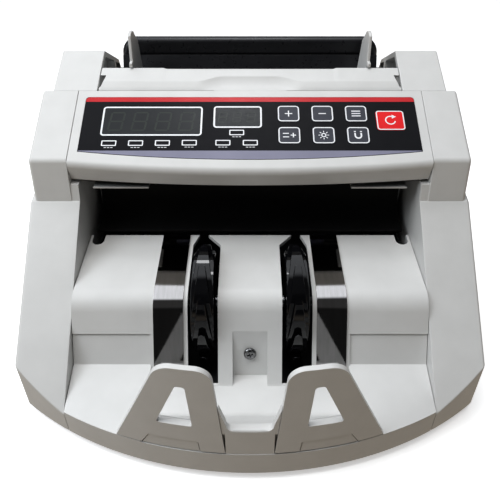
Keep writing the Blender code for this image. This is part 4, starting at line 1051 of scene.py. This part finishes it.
def make_handle():
    """Carry handle: an arch with fully rounded edges, and a trunnion out of each leg."""
    inside = HANDLE_HALF - HANDLE_LEG
    under = HANDLE_TOP - HANDLE_BAR
    arch = [(-inside, HANDLE_FOOT), (-inside, under), (inside, under), (inside, HANDLE_FOOT),
            (HANDLE_HALF, HANDLE_FOOT), (HANDLE_HALF, HANDLE_TOP), (-HANDLE_HALF, HANDLE_TOP),
            (-HANDLE_HALF, HANDLE_FOOT)]
    outline = rounded(arch, [5, 5, 5, 5, 5, 12, 12, 5], 10)
    handle = solid(outline, *HANDLE_DEPTHS, front_view, HANDLE_SOFT, HANDLE_SOFT, 7)
    mesh = bmesh.new()
    for sign in (-1, 1):
        add_turned(mesh, [(3.0, 0), (3.0, 11.4), (2.5, 12)], place(sign * 95.0, *HANDLE_AXIS),
                   (sign, 0, 0), 24)
    combine(handle, 'UNION', raw_object(mesh))
    piece("carry_handle_grip", handle, BLACK, ["carry_handle"], "handle", sharp=40)


# ---- carried-over CAD nodes

def dress(names, surface, edge=0.0, segments=2, sharp=32.0):
    """Keeps CAD nodes, with their edges rounded and a finish of their own."""
    for name in names:
        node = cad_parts[name]
        node.data.materials.clear()
        node.data.materials.append(surface)
        weld = node.modifiers.new("weld", 'WELD')
        weld.merge_threshold = 0.00002
        refine(node, edge, segments, sharp)


def make_rest():
    """Everything that keeps its CAD mesh."""
    dress(["base_plate"], BASE, 0.6)
    dress([f"foot_{end}_{side}" for end in ("front", "rear") for side in ("left", "right")],
          RUBBER, 0.8, 3)
    dress(["rear_cover"], CASING, 0.6)
    dress(["power_inlet", "power_rocker", "gap_adjust_knob"], BLACK, 0.4)
    dress(["note_chute"], CHUTE_AND_SHADE_BLACK, 0.3)
    rotors = ("pickup", "feed", "transport")
    dress([f"{rotor}_shaft" for rotor in ("stacker", *rotors)], STEEL, 0.3)
    dress(["guide_rod", "motor_pulley"], STEEL, 0.3)
    dress([f"{rotor}_roller_{side}" for rotor in rotors for side in ("left", "right")], ROLLER, 0.5)
    dress(["separator_roller"], ROLLER, 0.5)
    dress(["feed_belt", "stacker_belt"], BELT, 0.3)
    dress(["main_motor", "side_frame_left", "side_frame_right", "separator_bracket",
           "magnetic_head", "transformer"], ZINC, 0.3)
    dress(["control_board", "main_board"], BOARD, 0.1)
    dress(["uv_lamp"], LAMP, 0.4)


# ---- stage

def area_light(name, size, power, colour, location):
    """A soft rectangle of light that faces the machine."""
    data = bpy.data.lights.new(name, 'AREA')
    data.shape = 'RECTANGLE'
    data.size, data.size_y = size
    data.energy = power
    data.color = colour
    obj = bpy.data.objects.new(name, data)
    obj.location = location
    aim = Vector((0, 0, 0.1)) - Vector(location)
    obj.rotation_euler = aim.to_track_quat('-Z', 'Y').to_euler()
    bpy.context.scene.collection.objects.link(obj)


LIGHTS = [
    ("left_softbox", (0.5, 0.5), 3.0, (0.90, 0.95, 1.0), (-0.66, -0.20, 0.66)),
    ("top_lamp", (0.22, 0.12), 0.7, (0.97, 0.98, 1.0), (-0.02, 0.24, 0.95)),
    ("front_fill", (0.5, 0.3), 2.9, (1.0, 0.98, 0.95), (-0.15, -0.16, 1.0)),
]
CAMERA_AT = (0.0, -0.3003, 0.2834)
CAMERA_PITCH = 54.6
CAMERA_LENS = 37.44
FLOOR_GLOW = 0.4
ROOM_LOW = (0.48, 0.42, 0.35)
ROOM_HORIZON = (0.11, 0.11, 0.11)
ROOM_HIGH = (0.07, 0.07, 0.07)
CEILING = {"towards": (-0.25, 0.24, 1.0), "edges": (30.0, 42.0), "light": (1.3, 1.34, 1.4)}
DARK_CARD = {"towards": (0.0, -1.0, 0.22), "edges": (16.0, 26.0), "light": (0.02, 0.02, 0.02)}


def lobe(tree, direction, behind, towards, edges, light):
    """A round soft-edged light in the room, laid over the colour behind it."""
    facing = tree.nodes.new("ShaderNodeVectorMath")
    facing.operation = 'DOT_PRODUCT'
    facing.inputs[1].default_value = Vector(towards).normalized()
    tree.links.new(direction, facing.inputs[0])
    share = tree.nodes.new("ShaderNodeMapRange")
    share.interpolation_type = 'SMOOTHSTEP'
    share.inputs["From Min"].default_value = math.cos(math.radians(edges[1]))
    share.inputs["From Max"].default_value = math.cos(math.radians(edges[0]))
    tree.links.new(facing.outputs["Value"], share.inputs["Value"])
    mix = tree.nodes.new("ShaderNodeMix")
    mix.data_type = 'RGBA'
    mix.inputs["B"].default_value = (*light, 1)
    tree.links.new(share.outputs["Result"], mix.inputs["Factor"])
    tree.links.new(behind, mix.inputs["A"])
    return mix.outputs["Result"]


def make_stage():
    mesh = bmesh.new()
    size = 6.0
    corners = [(-size, -size), (size, -size), (size, size), (-size, size)]
    mesh.faces.new([mesh.verts.new((x, y, -0.0002)) for x, y in corners])
    floor = raw_object(mesh, "floor")
    made = finish_material("pale_floor", (0.93, 0.93, 0.93), (0.92, 0.92, 0.92), (0.6, 0.7),
                           grain=200, bump=0.0)
    shader = made.node_tree.nodes["Principled BSDF"]
    shader.inputs["Emission Color"].default_value = (1, 1, 1, 1)
    shader.inputs["Emission Strength"].default_value = FLOOR_GLOW
    floor.data.materials.append(made)
    floor.visible_diffuse = False
    floor.visible_glossy = False

    world = bpy.data.worlds.new("studio")
    world.use_nodes = True
    tree = world.node_tree
    background = tree.nodes["Background"]
    direction = tree.nodes.new("ShaderNodeTexCoord").outputs["Generated"]
    split = tree.nodes.new("ShaderNodeSeparateXYZ")
    tree.links.new(direction, split.inputs["Vector"])
    height = tree.nodes.new("ShaderNodeMapRange")
    height.inputs["From Min"].default_value = -1.0
    tree.links.new(split.outputs["Z"], height.inputs["Value"])
    room = tree.nodes.new("ShaderNodeValToRGB")
    tree.links.new(height.outputs["Result"], room.inputs["Fac"])
    stops = room.color_ramp.elements
    stops[0].position = 0.0
    stops[0].color = (*ROOM_LOW, 1)
    stops[1].position = 1.0
    stops[1].color = (*ROOM_HIGH, 1)
    for position, colour in ((0.46, ROOM_LOW), (0.49, ROOM_HORIZON), (0.55, ROOM_HORIZON),
                             (0.62, ROOM_HIGH)):
        stops.new(position).color = (*colour, 1)

    shown = lobe(tree, direction, room.outputs["Color"], **DARK_CARD)
    shown = lobe(tree, direction, shown, **CEILING)
    tree.links.new(shown, background.inputs["Color"])
    bpy.context.scene.world = world

    for name, size, power, colour, location in LIGHTS:
        area_light(name, size, power, colour, location)
    bpy.data.objects["front_fill"].visible_glossy = False


def make_camera():
    data = bpy.data.cameras.new("camera")
    data.sensor_width = 36.0
    data.lens = CAMERA_LENS
    data.clip_start = 0.01
    camera = bpy.data.objects.new("camera", data)
    camera.location = CAMERA_AT
    camera.rotation_euler = (math.radians(CAMERA_PITCH), 0.0, 0.0)
    bpy.context.scene.collection.objects.link(camera)
    bpy.context.scene.camera = camera


bpy.context.scene.view_settings.view_transform = 'Standard'
bpy.context.scene.view_settings.look = 'Medium High Contrast'
make_control_head()
make_foil()
make_displays()
make_keys()
make_housing()
make_strips()
make_housing_screw()
make_pocket_bars()
make_hopper_wall()
make_hopper_plate()
make_handle()
for side_name, direction in (("left", -1), ("right", 1)):
    make_side_cover(side_name, direction)
    make_prong(side_name, direction)
    make_wheel(side_name, direction)
    make_fin(side_name, direction)
make_rest()
make_stage()
make_camera()
